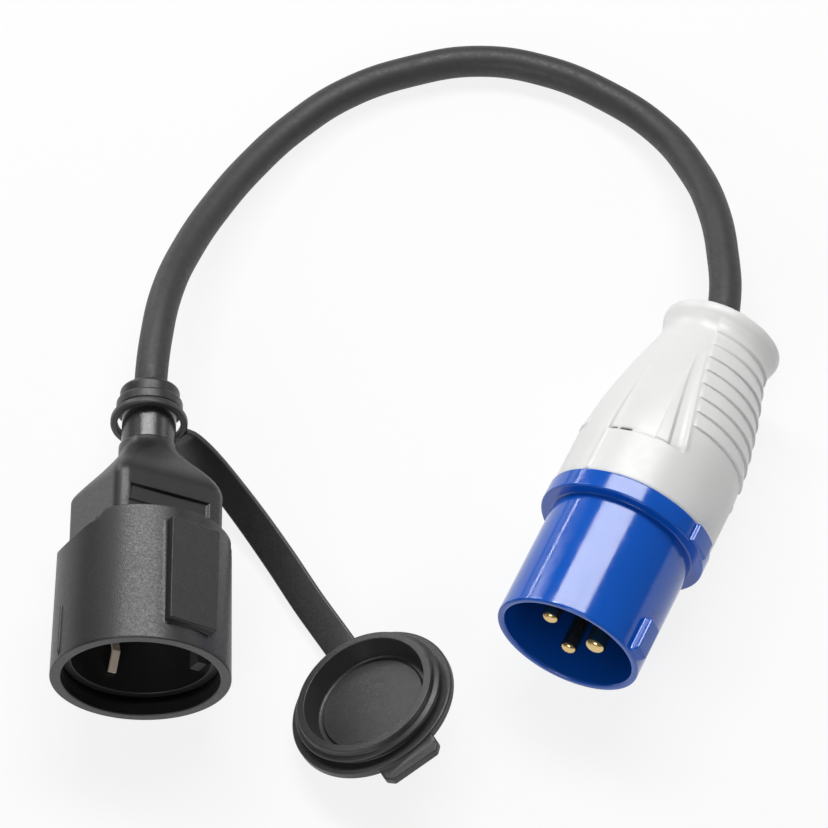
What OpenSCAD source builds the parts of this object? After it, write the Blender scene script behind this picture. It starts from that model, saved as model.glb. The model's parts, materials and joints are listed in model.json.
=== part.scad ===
// Adapter lead: a round three-pin site plug and a rubber earthed coupler on a
// short cable, with a sealing cap tethered to the coupler's neck.
// Millimetres. X runs from the coupler to the plug, the plug's pins point along
// -Y, Z is up from the table. The origin is under the middle of the rigid parts.
// Inside each connector a depth is measured back from the mouth, and an angle is
// clockwise from straight up, as seen facing the mouth.

/* [Layout on the table] */
// Place of the plug's axis along X
plug_x = 63.7; // [62:0.1:68]
// Place of the plug's mouth along Y
plug_y = -20.8; // [-24:0.1:-18]
// Place of the coupler's mouth along X
coupler_x = -42; // [-45:0.1:-40]
// Place of the coupler's mouth along Y
coupler_y = -82.4; // [-85:0.1:-80]
// Turn of the coupler's axis away from the plug's
coupler_turn = 25; // [22:1:28]
// Place of the sealing cap along X
cap_x = 17.8; // [17:0.1:21]
// Place of the sealing cap along Y
cap_y = -55.4; // [-59:0.1:-54]
// Lean of the sealing cap, which lies on the edge of its base
cap_tilt = 26; // [22:1:30]

/* [Plug shroud and pins] */
// Step from the flange in to the shroud round the pins
flange_step = 3.6; // [3:0.1:4]
// Wall of the shroud
shroud_wall = 2.2; // [1.8:0.1:2.4]
// Length of the shroud in front of its flange
shroud_length = 38.5; // [34:0.5:42]
// Thickness of the flange
flange_t = 6; // [5:0.5:8]
// Angle of the keying rib and of the earth pin
key_angle = 66; // [60:1:72]
// Width of the keying rib
key_width = 5.5; // [4.5:0.5:6]
// Pitch circle diameter of the three pins
pin_circle_d = 17.5; // [17:0.5:19]
// Diameter of the earth pin
earth_pin_d = 6; // [5.5:0.5:6.5]
// Diameter of the line and neutral pins
line_pin_d = 5; // [4.5:0.5:5.5]
// Setback of the line and neutral pin tips from the mouth
line_pin_setback = 2.5; // [1:0.5:5]
// Thickness of the carrier that holds the pins
carrier_t = 6; // [5:0.5:7]

/* [Plug housing] */
// Diameter of the housing's front band, which the flange follows
housing_d = 50; // [46:0.5:56]
// Wall of the housing
housing_wall = 2.4; // [2:0.1:2.8]
// Length of the housing behind the flange
housing_length = 69.5; // [66:0.5:74]
// Diameter of the waist in front of the bell collar
waist_d = 33.6; // [32:0.2:36]
// Diameter of the bell collar
bell_d = 37; // [36:0.5:39]
// Number of grip steps on each side
grip_count = 8; // [6:1:8]
// Pitch of the grip steps
grip_pitch = 5.1; // [4.5:0.1:5.1]
// Height of a grip step
grip_height = 0.7; // [0.4:0.1:1]
// Depth of the sunk panel at its front edge
panel_depth = 1.2; // [0.6:0.1:1.4]

/* [Coupler] */
// Outer diameter of the coupler's mouth
coupler_d = 52; // [50:0.5:54]
// Length of the round sleeve
sleeve_length = 43.5; // [41:0.5:46]
// Diameter of the stepped mouth that takes the cap
mouth_d = 45.6; // [44.6:0.2:46]
// Depth of the stepped mouth
mouth_depth = 5.8; // [5:0.2:7]
// Diameter of the recess that takes a plug
recess_d = 40; // [39:0.5:41]
// Depth of the recess, from the mouth to the contact face
recess_depth = 23.3; // [20:0.1:25]
// Roll of the coupler about its axis
coupler_roll = 29.5; // [24:0.5:34]
// Turn of the raised pad round the sleeve, past the square body's face
pad_turn = 6; // [0:1:8]
// Side of the square body behind the sleeve
box_side = 35; // [34:0.5:37]
// Diameter of the neck
neck_d = 16; // [15:0.5:17]
// Diameter of the collar at the end of the neck
collar_d = 19.8; // [19.6:0.2:21]
// Overall length of the coupler
coupler_length = 96.2; // [95:0.2:100]
// Spacing of the two current contacts
contact_spacing = 19; // [18.5:0.5:20]
// Bore of a current contact
contact_bore_d = 4.9; // [4.7:0.1:5.1]

/* [Sealing cap] */
// Diameter of the cap's flange
cap_d = 50; // [48:0.5:52]
// Height of the cap's rim above the flange
cap_rim = 5.3; // [4.5:0.1:5.5]
// Wall of the cap's rim
cap_wall = 2.7; // [2:0.1:3]
// Width of the strap
strap_w = 9.8; // [8:0.2:11]
// Thickness of the strap
strap_t = 2.2; // [1.8:0.1:2.6]
// Thickness of the ring round the neck
ring_t = 2.4; // [2:0.1:3]

/* [Cable] */
// Diameter of the cable
cable_d = 9.8; // [9:0.1:10.2]
// Diameter of an insulated core
core_d = 2.9; // [2.5:0.1:3]

/* [Hidden] */
$fn = 96;

// Clearance between parts that slide together
gap = 0.1;
cable_r = cable_d / 2;
core_r = core_d / 2;
wire_r = 0.8;
// Distance of each core from the cable's middle where the sheath ends
core_lay = core_d / sqrt(3) + 0.25;

// Plug, depths behind the mouth
flange_lip = 0.6;
flange_r = housing_d / 2 + flange_lip;
plug_h = flange_r;
shroud_r = flange_r - flange_step;
flange_back = shroud_length + flange_t;
housing_r = housing_d / 2;
housing_bore_r = housing_r - housing_wall;
spigot_r = housing_bore_r - gap;
spigot_end = flange_back + 10;
carrier_r = shroud_r - shroud_wall + 0.6;
carrier_face = shroud_length + 0.5;
carrier_back = carrier_face + carrier_t;
seal_depth = flange_back + 5.5;
seal_wire = 1.6;
pin_pitch_r = pin_circle_d / 2;
pin_step = 0.5;
terminal_r = 3.9;
terminal_length = 13;
terminal_flat = 3.2;
terminal_back = carrier_back + terminal_length;
screw_at = terminal_back - 5;
screw_r = 1.5;
screw_head_r = 2.6;
screw_head_t = 1.9;
screw_slot = 0.8;
rib_t = 1.6;
plug_sheath_end = carrier_back + 31;
clamp_at = carrier_back + 39;
clamp_l = 9;
clamp_w = 24;
clamp_wall = 3;
clamp_part = 1;
tongue_w = 6.8;
clamp_reach = (clamp_w / 2 + cable_r) / 2;
clamp_angle = key_angle + 180;
housing_end = flange_back + housing_length;
waist_at = housing_end - 9;
band_end = flange_back + 17.5;
grip_start = waist_at - grip_pitch * (grip_count - 1);
grommet_r = waist_d / 2 - 4.4;
grommet_front = housing_end - 17;
grommet_back = housing_end - 8;
panel_front = flange_back + 15.5;
panel_back = waist_at - 5;
panel_left = -35;
panel_span = 59;
grip_left = 26;
grip_span = 79;
far_grip_span = 52;

// Coupler, depths behind the mouth
coupler_r = coupler_d / 2;
coupler_h = coupler_r;
sleeve_r = coupler_r - 0.8;
mouth_r = mouth_d / 2;
recess_r = recess_d / 2;
insert_r = recess_r - gap;
insert_back = recess_depth + 7.7;
box_half = box_side / 2;
box_corner = 5;
box_end = sleeve_length + 12.5;
neck_r = neck_d / 2;
neck_start = box_end + 20;
collar_r = collar_d / 2;
collar_start = coupler_length - 8.2;
coupler_sheath_end = box_end + 9;
contact_r = 3.9;
contact_front = recess_depth + 2.3;
contact_bottom = contact_front + 17;
contact_back = contact_bottom + 8;
contact_x = contact_spacing / 2;
barrel_back = contact_front + 16;
barrel_r = contact_r + 1.3;
hollow_r = contact_x + barrel_r + 2 * gap;
earth_leg = recess_r - 1;
clip_w = 2.4;
earth_bridge = insert_back - 1.2;
earth_tail = insert_back + 7;

// Sealing cap, in its own frame with the open side up
cap_r = cap_d / 2;
cap_flange_t = 2.5;
cap_base_r = cap_r - 3;
cap_base_t = 4.5;
cap_h = max(cap_base_r * sin(cap_tilt) + cap_base_t * cos(cap_tilt),
            cap_r * sin(cap_tilt) + cap_flange_t * cos(cap_tilt));
cap_spigot_r = mouth_r - 1.6;
cap_bead_r = mouth_r - 0.2;
cap_floor = -2;
strap_angle = 140;
strap_drop = -1.2;
tab_angle = strap_angle + 184;
ring_at = collar_start - 3.2;
ring_tilt = 9;
ring_bore_r = max(neck_r, cable_r) + 1.3;
ring_r = ring_bore_r + 2.1;
ring_angle = 129;

// Route of the cable between the two connectors, chosen by hand
cable_route = [[58.8, 106.2, 25.3], [51.9, 121.3, 23], [41.9, 137.8, 19], [29.2, 152.5, 13],
               [12.6, 164.7, 8], [-7.3, 171.1, 5.5], [-29, 171.9, 5.2], [-49.6, 166.4, 5.2],
               [-67.4, 153.8, 5.2], [-81.6, 138, 5.4], [-90.6, 119.1, 6.5], [-95.6, 99.2, 9],
               [-97.8, 79.2, 12.5], [-97.6, 59.2, 17], [-94.9, 40.5, 22], [-89.7, 22.9, 25]];
// Route of the strap between the ring and the cap, chosen by hand
strap_route = [[-63, -3.2, 15.3], [-58.2, -4.8, 13], [-51.2, -7.8, 10], [-40.3, -13.3, 6.8],
               [-28, -20.6, 4.8], [-14.6, -29.5, 4.2]];

// Points of the two connectors and of the cap in the common frame
function on_plug(depth) = [plug_x, plug_y + depth, plug_h];
function on_coupler(depth) = [coupler_x - depth * sin(coupler_turn),
                              coupler_y + depth * cos(coupler_turn), coupler_h];
function round_coupler(angle) = [cos(coupler_turn) * sin(angle), sin(coupler_turn) * sin(angle),
                                 cos(angle)];
function turn_cap(v) = [v.x * cos(cap_tilt) - v.z * sin(cap_tilt), v.y,
                        v.x * sin(cap_tilt) + v.z * cos(cap_tilt)];
function on_cap(r, z) = [cap_x, cap_y, cap_h]
    + turn_cap([r * cos(strap_angle), r * sin(strap_angle), z]);

// Swept solids: rings of points joined along a route
function unit(v) = v / norm(v);
function tangent(p, i) = unit(p[min(i + 1, len(p) - 1)] - p[max(i - 1, 0)]);
function side_of(t, ref) = unit(ref - t * (t * ref));
function swept_faces(rings, n) = concat(
    [[for (k = [n - 1:-1:0]) k]],
    [for (i = [0:rings - 2], k = [0:n - 1]) [i * n + k, i * n + (k + 1) % n, (i + 1) * n + k]],
    [for (i = [0:rings - 2], k = [0:n - 1])
        [i * n + (k + 1) % n, (i + 1) * n + (k + 1) % n, (i + 1) * n + k]],
    [[for (k = [0:n - 1]) (rings - 1) * n + k]]);

// Outline of the housing: a straight band, then a rounded taper to the waist
function housing_at(depth) = depth <= band_end ? housing_r
    : housing_r - (housing_r - waist_d / 2) * pow((depth - band_end) / (waist_at - band_end), 1.6);
taper = [for (i = [0:10]) band_end + (waist_at - band_end) * i / 10];

// Section of the coupler's body: a rounded square that becomes the round neck
function ease(t) = t * t * (3 - 2 * t);
function box_blend(depth) = ease(max(0, min(1, (depth - box_end) / (neck_start - box_end))));
function box_ring(depth) =
    let (f = box_blend(depth), h = box_half + (neck_r - 0.4 - box_half) * f,
         c = box_corner + (neck_r - 0.4 - box_corner) * f)
    [for (q = [0:3], k = [0:5]) let (a = q * 90 + k * 18, s = q * 90 + 45)
        [sqrt(2) * (h - c) * cos(s) + c * cos(a), sqrt(2) * (h - c) * sin(s) + c * sin(a), depth]];
box_depths = concat([for (i = [10:-1:0]) box_end + (neck_start - box_end) * i / 10],
                    [sleeve_length - 6]);

module at_plug() {
    translate([plug_x, plug_y, plug_h]) rotate([90, 0, 180]) children();
}

module at_coupler() {
    translate(on_coupler(0)) rotate([90, 0, 180 + coupler_turn]) children();
}

module rolled() {
    at_coupler() rotate([0, 0, coupler_roll]) children();
}

module at_cap() {
    translate([cap_x, cap_y, cap_h]) rotate([0, -cap_tilt, 0]) children();
}

// Turns a sector drawn in radius and depth about the axis, between two angles
module sector(left, span) {
    rotate([0, 0, 90 + left]) rotate_extrude(angle = span) children();
}

// A round bar between two points
module bar(p, q, r) {
    d = q - p;
    translate(p) rotate([0, acos(d.z / norm(d)), atan2(d.y, d.x)]) cylinder(r = r, h = norm(d));
}

// An insulated core with a bare end, from a terminal to the end of the sheath
module core(start, bare, goal) {
    from = start + [0, 0, bare];
    elbow = from + [0, 0, 2.5];
    turn = goal - [0, 0, 2.5];
    translate(start) cylinder(r = wire_r, h = bare + 0.5);
    bar(from, elbow, core_r);
    translate(elbow) sphere(core_r + 0.06, $fn = 48);
    bar(elbow, turn, core_r);
    translate(turn) sphere(core_r + 0.06, $fn = 48);
    bar(turn, goal, core_r);
}

// A domed contact pin with its shoulder and screw terminal behind the carrier
module pin(d, tip, angle) {
    r = d / 2;
    dome = r * 0.8;
    at_plug() rotate([0, 0, angle]) translate([0, pin_pitch_r, 0]) difference() {
        union() {
            translate([0, 0, tip + dome]) cylinder(r = r, h = carrier_face - tip - dome);
            translate([0, 0, tip + dome]) intersection() {
                sphere(r);
                translate([0, 0, -dome]) cylinder(r = r, h = dome);
            }
            translate([0, 0, carrier_face]) cylinder(r = r + pin_step, h = carrier_t);
            translate([0, 0, carrier_back]) cylinder(r = terminal_r, h = terminal_length);
        }
        translate([0, 0, terminal_back - 8]) cylinder(r = wire_r + 0.3, h = 9);
        translate([0, 0, screw_at]) rotate([-90, 0, 0])
            cylinder(r = screw_r + gap, h = terminal_r + 1);
        translate([-terminal_r, terminal_flat, screw_at - screw_head_r - gap])
            cube([2 * terminal_r, terminal_r, 2 * (screw_head_r + gap)]);
    }
}

module plug_core(angle) {
    spread = [-sin(angle), cos(angle), 0];
    at_plug() core(spread * pin_pitch_r + [0, 0, terminal_back - 7.5], 8.5,
                   spread * core_lay + [0, 0, plug_sheath_end]);
}

module coupler_core(start, bare, angle) {
    rolled() core(start, bare, [-sin(angle), cos(angle), 0] * core_lay + [0, 0, coupler_sheath_end]);
}

module current_contact(side) {
    rolled() translate([side * contact_x, 0, 0]) difference() {
        union() {
            translate([0, 0, contact_front])
                cylinder(r = contact_r, h = contact_bottom + 1 - contact_front);
            translate([0, 0, contact_bottom])
                cylinder(r = 2.2, h = contact_back - contact_bottom);
        }
        translate([0, 0, contact_front - 1])
            cylinder(r = contact_bore_d / 2, h = contact_bottom + 1 - contact_front);
        translate([0, 0, contact_back - 6]) cylinder(r = wire_r + gap, h = 7);
        translate([-contact_r - 1, -0.4, contact_front - 1]) cube([2 * contact_r + 2, 0.8, 9]);
    }
}

module housing_form() {
    rotate_extrude() polygon(concat(
        [[housing_bore_r, flange_back], [housing_r - 0.4, flange_back],
         [housing_r, flange_back + 0.4]],
        [for (b = taper) [housing_at(b), b]],
        [[waist_d / 2 + 0.3, waist_at + 2], [bell_d / 2 - 0.3, waist_at + 5],
         [bell_d / 2, waist_at + 6.5], [bell_d / 2 - 0.3, housing_end - 1],
         [bell_d / 2 - 1.2, housing_end], [bell_d / 2 - 2.6, housing_end],
         [grommet_r + 1.6, housing_end - 2.5], [grommet_r + gap, grommet_back],
         [grommet_r + gap, grommet_front + 2], [grommet_r + 1.6, grommet_front + 2]],
        [for (i = [8:-1:0]) [housing_at(taper[i]) - housing_wall, taper[i] - 1]]));
}

module panel_pair(left, span) {
    for (half = [0, 180]) sector(left + half, span) children();
}

// White moulded housing with sunk panels, grip steps and a bell collar
module plug_housing() {
    color("WhiteSmoke") at_plug() {
        difference() {
            housing_form();
            panel_pair(panel_left, panel_span) polygon(concat(
                [for (i = [0:8]) let (b = panel_front + (panel_back - panel_front) * i / 8)
                    [housing_at(b) - panel_depth * (1 - i / 8), b]],
                [[housing_r + 2, panel_back], [housing_r + 2, panel_front]]));
            for (half = [0, 180]) {
                sector(panel_left + 2 + half, 18) translate([housing_r - housing_wall - 1, panel_front])
                    square([housing_wall + 2, 0.8]);
                rotate([0, 0, 102 + half])
                    translate([-4.5, bell_d / 2 - 1, waist_at + 2]) cube([9, 3, 4.5]);
            }
        }
        for (half = [0, 180]) {
            sector(grip_left + half, half == 0 ? grip_span : far_grip_span) polygon(concat(
                [for (i = [0:grip_count - 1], e = [0, 1]) let (b = grip_start + grip_pitch * (i + e * 0.98))
                    [housing_at(min(b, waist_at)) + grip_height * (1 - e), b]],
                [[waist_d / 2 - 1, waist_at + 2]],
                [for (i = [8:-1:0]) let (b = grip_start + (waist_at - grip_start) * i / 8)
                    [housing_at(b) - 1.2, b]]));
            intersection() {
                housing_form();
                rotate([0, 0, 8 + half]) translate([0, housing_r + 1, 0]) rotate([90, 0, 0])
                    linear_extrude(height = housing_r - 12)
                    polygon([[-2.2, panel_front - 0.5], [2.2, panel_front - 0.5], [0, panel_back - 3]]);
            }
            sector(panel_left - 1 + half, 2) translate([housing_r - 1, flange_back + 1])
                square([1.35, panel_front - flange_back - 1]);
            sector(panel_left - 42 + half, 17) translate([housing_r - 1, band_end + 1])
                square([1.3, 2.2]);
        }
    }
}

// Blue moulded shroud with a flange, a keying rib and the spigot for the housing
module plug_shroud() {
    inner = shroud_r - shroud_wall;
    color("RoyalBlue") at_plug() {
        difference() {
            rotate_extrude() polygon([[inner, 0.6], [inner + 0.6, 0], [shroud_r - 0.6, 0],
                [shroud_r, 0.6], [shroud_r, shroud_length], [flange_r - 0.5, shroud_length],
                [flange_r, shroud_length + 0.5], [flange_r, flange_back - 0.3],
                [flange_r - 0.3, flange_back], [spigot_r, flange_back], [spigot_r, spigot_end],
                [carrier_r + gap, spigot_end], [carrier_r + gap, carrier_face],
                [inner, carrier_face]]);
            translate([0, 0, seal_depth]) rotate_extrude() translate([spigot_r, 0])
                square([seal_wire, seal_wire + 0.4], center = true);
        }
        rotate([0, 0, key_angle]) translate([0, shroud_r, 0]) rotate([90, 0, 90])
            translate([0, 0, -key_width / 2]) linear_extrude(height = key_width)
            polygon([[-1, 0.4], [1.6, 0.4], [2.5, 1.7], [2.5, 10.7], [1.8, 12.2], [-1, 12.2]]);
    }
}

// Rubber ring in the groove of the spigot
module housing_seal() {
    color("DimGray") at_plug() translate([0, 0, seal_depth]) rotate_extrude()
        translate([spigot_r - seal_wire / 2 + gap * 0.8 + seal_wire * 0.24, 0])
        scale([0.52, 1]) square([seal_wire * 0.98, seal_wire * 0.98], center = true);
}

// Dark moulded carrier of the pins, with ribs between the terminals and the tongue
// that carries the cable clamp
module pin_carrier() {
    color("DarkSlateGray") at_plug() difference() {
        union() {
            translate([0, 0, carrier_face]) cylinder(r = carrier_r, h = carrier_t);
            for (a = [60, 180, 300]) rotate([0, 0, key_angle + a])
                translate([-rib_t / 2, clamp_wall, carrier_back - 1])
                cube([rib_t, carrier_r - clamp_wall - 4, terminal_length - 1]);
            rotate([0, 0, clamp_angle]) {
                translate([-tongue_w / 2, cable_r + 0.4, carrier_back - 1])
                    cube([tongue_w, clamp_wall + 0.4, clamp_at - carrier_back + 1]);
                translate([-clamp_w / 2, clamp_part, clamp_at])
                    cube([clamp_w, cable_r + clamp_wall - clamp_part + 0.8, clamp_l]);
            }
        }
        for (a = [0, 120, 240]) rotate([0, 0, key_angle + a]) translate([0, pin_pitch_r, 0])
            cylinder(r = (a == 0 ? earth_pin_d : line_pin_d) / 2 + pin_step + gap, h = carrier_back + 1);
        translate([0, 0, clamp_at - 1]) cylinder(r = cable_r, h = clamp_l + 2);
        for (x = [-clamp_reach, clamp_reach]) rotate([0, 0, clamp_angle])
            translate([x, 0, clamp_at + clamp_l / 2]) rotate([-90, 0, 0])
            cylinder(r = screw_r + gap, h = cable_r + 2 * clamp_wall);
    }
}

module earth_pin() {
    color("Goldenrod") pin(earth_pin_d, 0, key_angle);
}

module line_pin() {
    color("Goldenrod") pin(line_pin_d, line_pin_setback, key_angle + 120);
}

module neutral_pin() {
    color("Goldenrod") pin(line_pin_d, line_pin_setback, key_angle + 240);
}

// Three slotted screws that hold the conductors in the pins
module terminal_screws() {
    seat = pin_pitch_r + terminal_flat;
    color("Silver") at_plug() for (a = [0, 120, 240]) rotate([0, 0, key_angle + a])
        translate([0, 0, screw_at]) rotate([-90, 0, 0]) difference() {
            union() {
                translate([0, 0, pin_pitch_r + wire_r + 0.02])
                    cylinder(r = screw_r, h = terminal_flat - wire_r);
                translate([0, 0, seat]) cylinder(r = screw_head_r, h = screw_head_t);
            }
            translate([-screw_head_r - 1, -screw_slot / 2, seat + screw_head_t / 2])
                cube([2 * screw_head_r + 2, screw_slot, screw_head_t]);
        }
}

// Loose half of the cable clamp
module clamp_saddle() {
    color("DarkSlateGray") at_plug() difference() {
        rotate([0, 0, clamp_angle]) translate([-clamp_w / 2, -cable_r - clamp_wall, clamp_at])
            cube([clamp_w, cable_r + clamp_wall - clamp_part, clamp_l]);
        translate([0, 0, clamp_at - 1]) cylinder(r = cable_r, h = clamp_l + 2);
        for (x = [-clamp_reach, clamp_reach]) rotate([0, 0, clamp_angle])
            translate([x, 0, clamp_at + clamp_l / 2]) rotate([90, 0, 0])
            cylinder(r = screw_r + gap, h = cable_r + 2 * clamp_wall);
    }
}

// Two slotted screws of the cable clamp
module clamp_screws() {
    seat = cable_r + clamp_wall;
    color("Silver") at_plug() rotate([0, 0, clamp_angle]) for (x = [-clamp_reach, clamp_reach])
        translate([x, 0, clamp_at + clamp_l / 2]) rotate([90, 0, 0]) difference() {
            union() {
                translate([0, 0, -seat]) cylinder(r = screw_r, h = 2 * seat);
                translate([0, 0, seat]) cylinder(r = screw_head_r, h = screw_head_t);
            }
            translate([-screw_head_r - 1, -screw_slot / 2, seat + screw_head_t / 2])
                cube([2 * screw_head_r + 2, screw_slot, screw_head_t]);
        }
}

// Rubber bush in the housing's tail
module cable_grommet() {
    color("DimGray") at_plug() rotate_extrude() polygon([[cable_r, grommet_front],
        [grommet_r + 1.4, grommet_front], [grommet_r + 1.4, grommet_front + 2],
        [grommet_r, grommet_front + 2], [grommet_r, grommet_back - 0.6],
        [grommet_r - 0.6, grommet_back], [cable_r + 1, grommet_back], [cable_r, grommet_back - 1]]);
}

module plug_core_earth() {
    color("YellowGreen") plug_core(key_angle);
}

module plug_core_line() {
    color("SaddleBrown") plug_core(key_angle + 120);
}

module plug_core_neutral() {
    color("SteelBlue") plug_core(key_angle + 240);
}

// Black rubber coupler: sleeve, square body, neck and end collar in one moulding
module coupler_body() {
    color("DimGray") difference() {
        union() {
            at_coupler() {
                difference() {
                    rotate_extrude() polygon([[0, 1], [mouth_r - 1, 1], [mouth_r, 0.4],
                        [mouth_r + 0.4, 0], [coupler_r - 0.5, 0], [coupler_r, 0.5],
                        [sleeve_r, sleeve_length - 0.6], [sleeve_r - 0.6, sleeve_length],
                        [0, sleeve_length]]);
                    for (a = [90, 270]) rotate([0, 0, coupler_roll + a])
                        translate([-coupler_r, sleeve_r + 0.2, sleeve_length - 6.5]) rotate([40, 0, 0])
                        cube([2 * coupler_r, coupler_r, 30]);
                }
                rotate_extrude() polygon([[0, neck_start - 7], [neck_r, neck_start - 7],
                    [neck_r, collar_start], [collar_r - 0.5, collar_start],
                    [collar_r, collar_start + 0.6], [collar_r, collar_start + 2.8],
                    [collar_r - 0.5, collar_start + 3.5], [collar_r - 1, collar_start + 3.7],
                    [collar_r - 1, coupler_length - 1.8], [collar_r - 1.5, coupler_length - 0.5],
                    [collar_r - 2.3, coupler_length], [0, coupler_length]]);
            }
            rolled() {
                polyhedron(points = [for (b = box_depths) each box_ring(b)],
                           faces = swept_faces(len(box_depths), 24), convexity = 4);
                rotate([0, 0, pad_turn]) translate([0, 0, 6]) linear_extrude(height = sleeve_length - 11)
                    polygon([[-9, sleeve_r - 3], [9, sleeve_r - 3], [7.7, sleeve_r + 2.4],
                             [-7.7, sleeve_r + 2.4]]);
                for (a = [90, 270]) rotate([0, 0, a]) translate([-0.4, coupler_r - 1, 1.5])
                    cube([0.8, 1.4, 15.5]);
            }
        }
        at_coupler() rotate_extrude() polygon([[0, -1], [mouth_r, -1], [mouth_r, mouth_depth],
            [recess_r, mouth_depth], [recess_r, insert_back], [hollow_r, insert_back],
            [hollow_r, box_end - 4], [cable_r + gap / 2, coupler_sheath_end],
            [cable_r + gap / 2, coupler_length + 1],
            [0, coupler_length + 1]]);
        rolled() translate([-12, box_half - 0.6, sleeve_length + 2.5]) cube([26, 2, 6]);
    }
}

// Dark moulded insert: contact face, guide ribs and the barrels round the contacts
module contact_insert() {
    color("DarkSlateGray") rolled() difference() {
        union() {
            translate([0, 0, recess_depth]) cylinder(r = insert_r, h = insert_back - recess_depth);
            for (side = [-1, 1]) translate([side * contact_x, 0, insert_back - 1])
                cylinder(r = barrel_r, h = barrel_back - insert_back + 1);
            intersection() {
                translate([0, 0, mouth_depth + 3]) cylinder(r = insert_r, h = recess_depth);
                for (side = [-1, 1]) translate([side * (recess_r - 1.6) - 1.6, -2.5, mouth_depth + 3])
                    cube([3.2, 5, recess_depth - mouth_depth - 2]);
            }
        }
        for (side = [-1, 1]) translate([side * contact_x, 0, 0]) {
            translate([0, 0, recess_depth - 1]) cylinder(r = contact_bore_d / 2 + 0.3, h = 5);
            translate([0, 0, contact_front]) cylinder(r = contact_r + gap, h = barrel_back);
        }
        for (side = [-1, 1])
            translate([-clip_w / 2 - 0.2, side * (earth_leg - 0.4) - 0.6, recess_depth - 1])
            cube([clip_w + 0.4, 1.2, insert_back]);
        translate([-2.2, -earth_leg - 0.2, earth_bridge - 0.8]) cube([4.4, 2 * earth_leg + 0.4, 4]);
    }
}

module line_contact() {
    color("Goldenrod") current_contact(-1);
}

module neutral_contact() {
    color("Goldenrod") current_contact(1);
}

// Sprung earth strip: two clips in the recess, a bridge and a crimp behind the insert
module earth_bracket() {
    o = earth_leg;
    color("Peru") rolled() difference() {
        union() {
            for (side = [0, 180]) rotate([0, 0, side]) rotate([90, 0, 90])
                translate([0, 0, -clip_w / 2]) linear_extrude(height = clip_w)
                polygon([[o, earth_bridge], [o, recess_depth - 1],
                    [o - 1.7, recess_depth - 6.5], [o + 0.6, recess_depth - 12.3],
                    [o - 0.2, recess_depth - 12.3], [o - 2.5, recess_depth - 6.5],
                    [o - 0.8, recess_depth - 1], [o - 0.8, earth_bridge]]);
            translate([-2, -o, earth_bridge - 0.8]) cube([4, 2 * o, 0.8]);
            translate([0, 0, earth_bridge - 0.4]) cylinder(r = 2.1, h = earth_tail - earth_bridge);
        }
        translate([0, 0, earth_tail - 6]) cylinder(r = wire_r + gap, h = 7);
    }
}

module coupler_core_earth() {
    color("YellowGreen") coupler_core([0, 0, earth_tail - 5.5], 6, 0);
}

module coupler_core_line() {
    color("SaddleBrown") coupler_core([-contact_x, 0, contact_back - 5.5], 6, 120);
}

module coupler_core_neutral() {
    color("SteelBlue") coupler_core([contact_x, 0, contact_back - 5.5], 6, 240);
}

// Black rubber cap, strap and ring in one moulding, the ring loose on the neck
module sealing_cap() {
    out = round_coupler(ring_angle);
    lean = cos(ring_angle) * sin(ring_tilt);
    root = [for (r = [ring_bore_r + 1, ring_r + 2]) on_coupler(ring_at + r * lean) + out * r];
    route = concat(root, strap_route,
                   [on_cap(cap_r - 0.5, strap_drop), on_cap(cap_r - 4, strap_drop)]);
    from = round_coupler(ring_angle - 90);
    to = turn_cap([sin(strap_angle), -cos(strap_angle), 0]);
    last = len(route) - 1;
    w = strap_w / 2;
    t = strap_t / 2;
    section = [[w, -t + 0.5], [w, t - 0.5], [w - 0.5, t], [0.5 - w, t], [-w, t - 0.5], [-w, 0.5 - t],
               [0.5 - w, -t], [w - 0.5, -t]];
    color("DimGray") {
        at_cap() {
            rotate_extrude() polygon([[0, -cap_base_t], [cap_base_r - 1, -cap_base_t],
                [cap_base_r, 1 - cap_base_t], [cap_r - 0.6, -cap_flange_t], [cap_r, 0.6 - cap_flange_t],
                [cap_r, -0.6], [cap_r - 0.6, 0], [cap_spigot_r, 0], [cap_spigot_r, 1.2],
                [cap_bead_r, 1.9], [cap_bead_r, 2.7], [cap_spigot_r, 3.4],
                [cap_spigot_r, cap_rim - 0.5], [cap_spigot_r - 0.5, cap_rim],
                [cap_spigot_r - cap_wall + 0.5, cap_rim], [cap_spigot_r - cap_wall, cap_rim - 0.5],
                [cap_spigot_r - cap_wall - 1, cap_floor], [cap_spigot_r - cap_wall - 2.6, cap_floor],
                [cap_spigot_r - cap_wall - 2.9, cap_floor + 0.7], [0, cap_floor + 0.7]]);
            rotate([0, 0, tab_angle]) translate([0, 0, -3]) linear_extrude(height = 2.4) {
                translate([cap_r - 4, -9]) square([7.1, 18]);
                translate([cap_r, -7.5]) square([4.6, 15]);
                for (side = [-1, 1]) translate([cap_r + 3.1, side * 7.5]) circle(1.5);
            }
        }
        at_coupler() translate([0, 0, ring_at]) rotate([ring_tilt, 0, 0]) difference() {
            cylinder(r = ring_r, h = ring_t, center = true);
            cylinder(r = ring_bore_r, h = ring_t + 2, center = true);
        }
        polyhedron(points = [for (i = [0:last]) let (d = tangent(route, i),
                u = side_of(d, from + (to - from) * i / last), v = cross(u, d))
            each [for (p = section) route[i] + u * p.x + v * p.y]],
            faces = swept_faces(last + 1, 8), convexity = 4);
    }
}

// Round rubber cable, from the sheath's end in the plug to its end in the coupler
module cable() {
    route = concat([on_plug(plug_sheath_end), on_plug(grommet_front - 3), on_plug(grommet_back)],
                   cable_route,
                   [on_coupler(coupler_length), on_coupler(coupler_length - 20),
                    on_coupler(coupler_sheath_end)]);
    last = len(route) - 1;
    color("DimGray") polyhedron(points = [for (i = [0:last]) let (d = tangent(route, i),
                v = side_of(d, [0, 0, 1]), u = cross(d, v))
            each [for (k = [0:11]) route[i] + cable_r * (u * cos(30 * k) + v * sin(30 * k))]],
            faces = swept_faces(last + 1, 12), convexity = 8);
}

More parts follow.
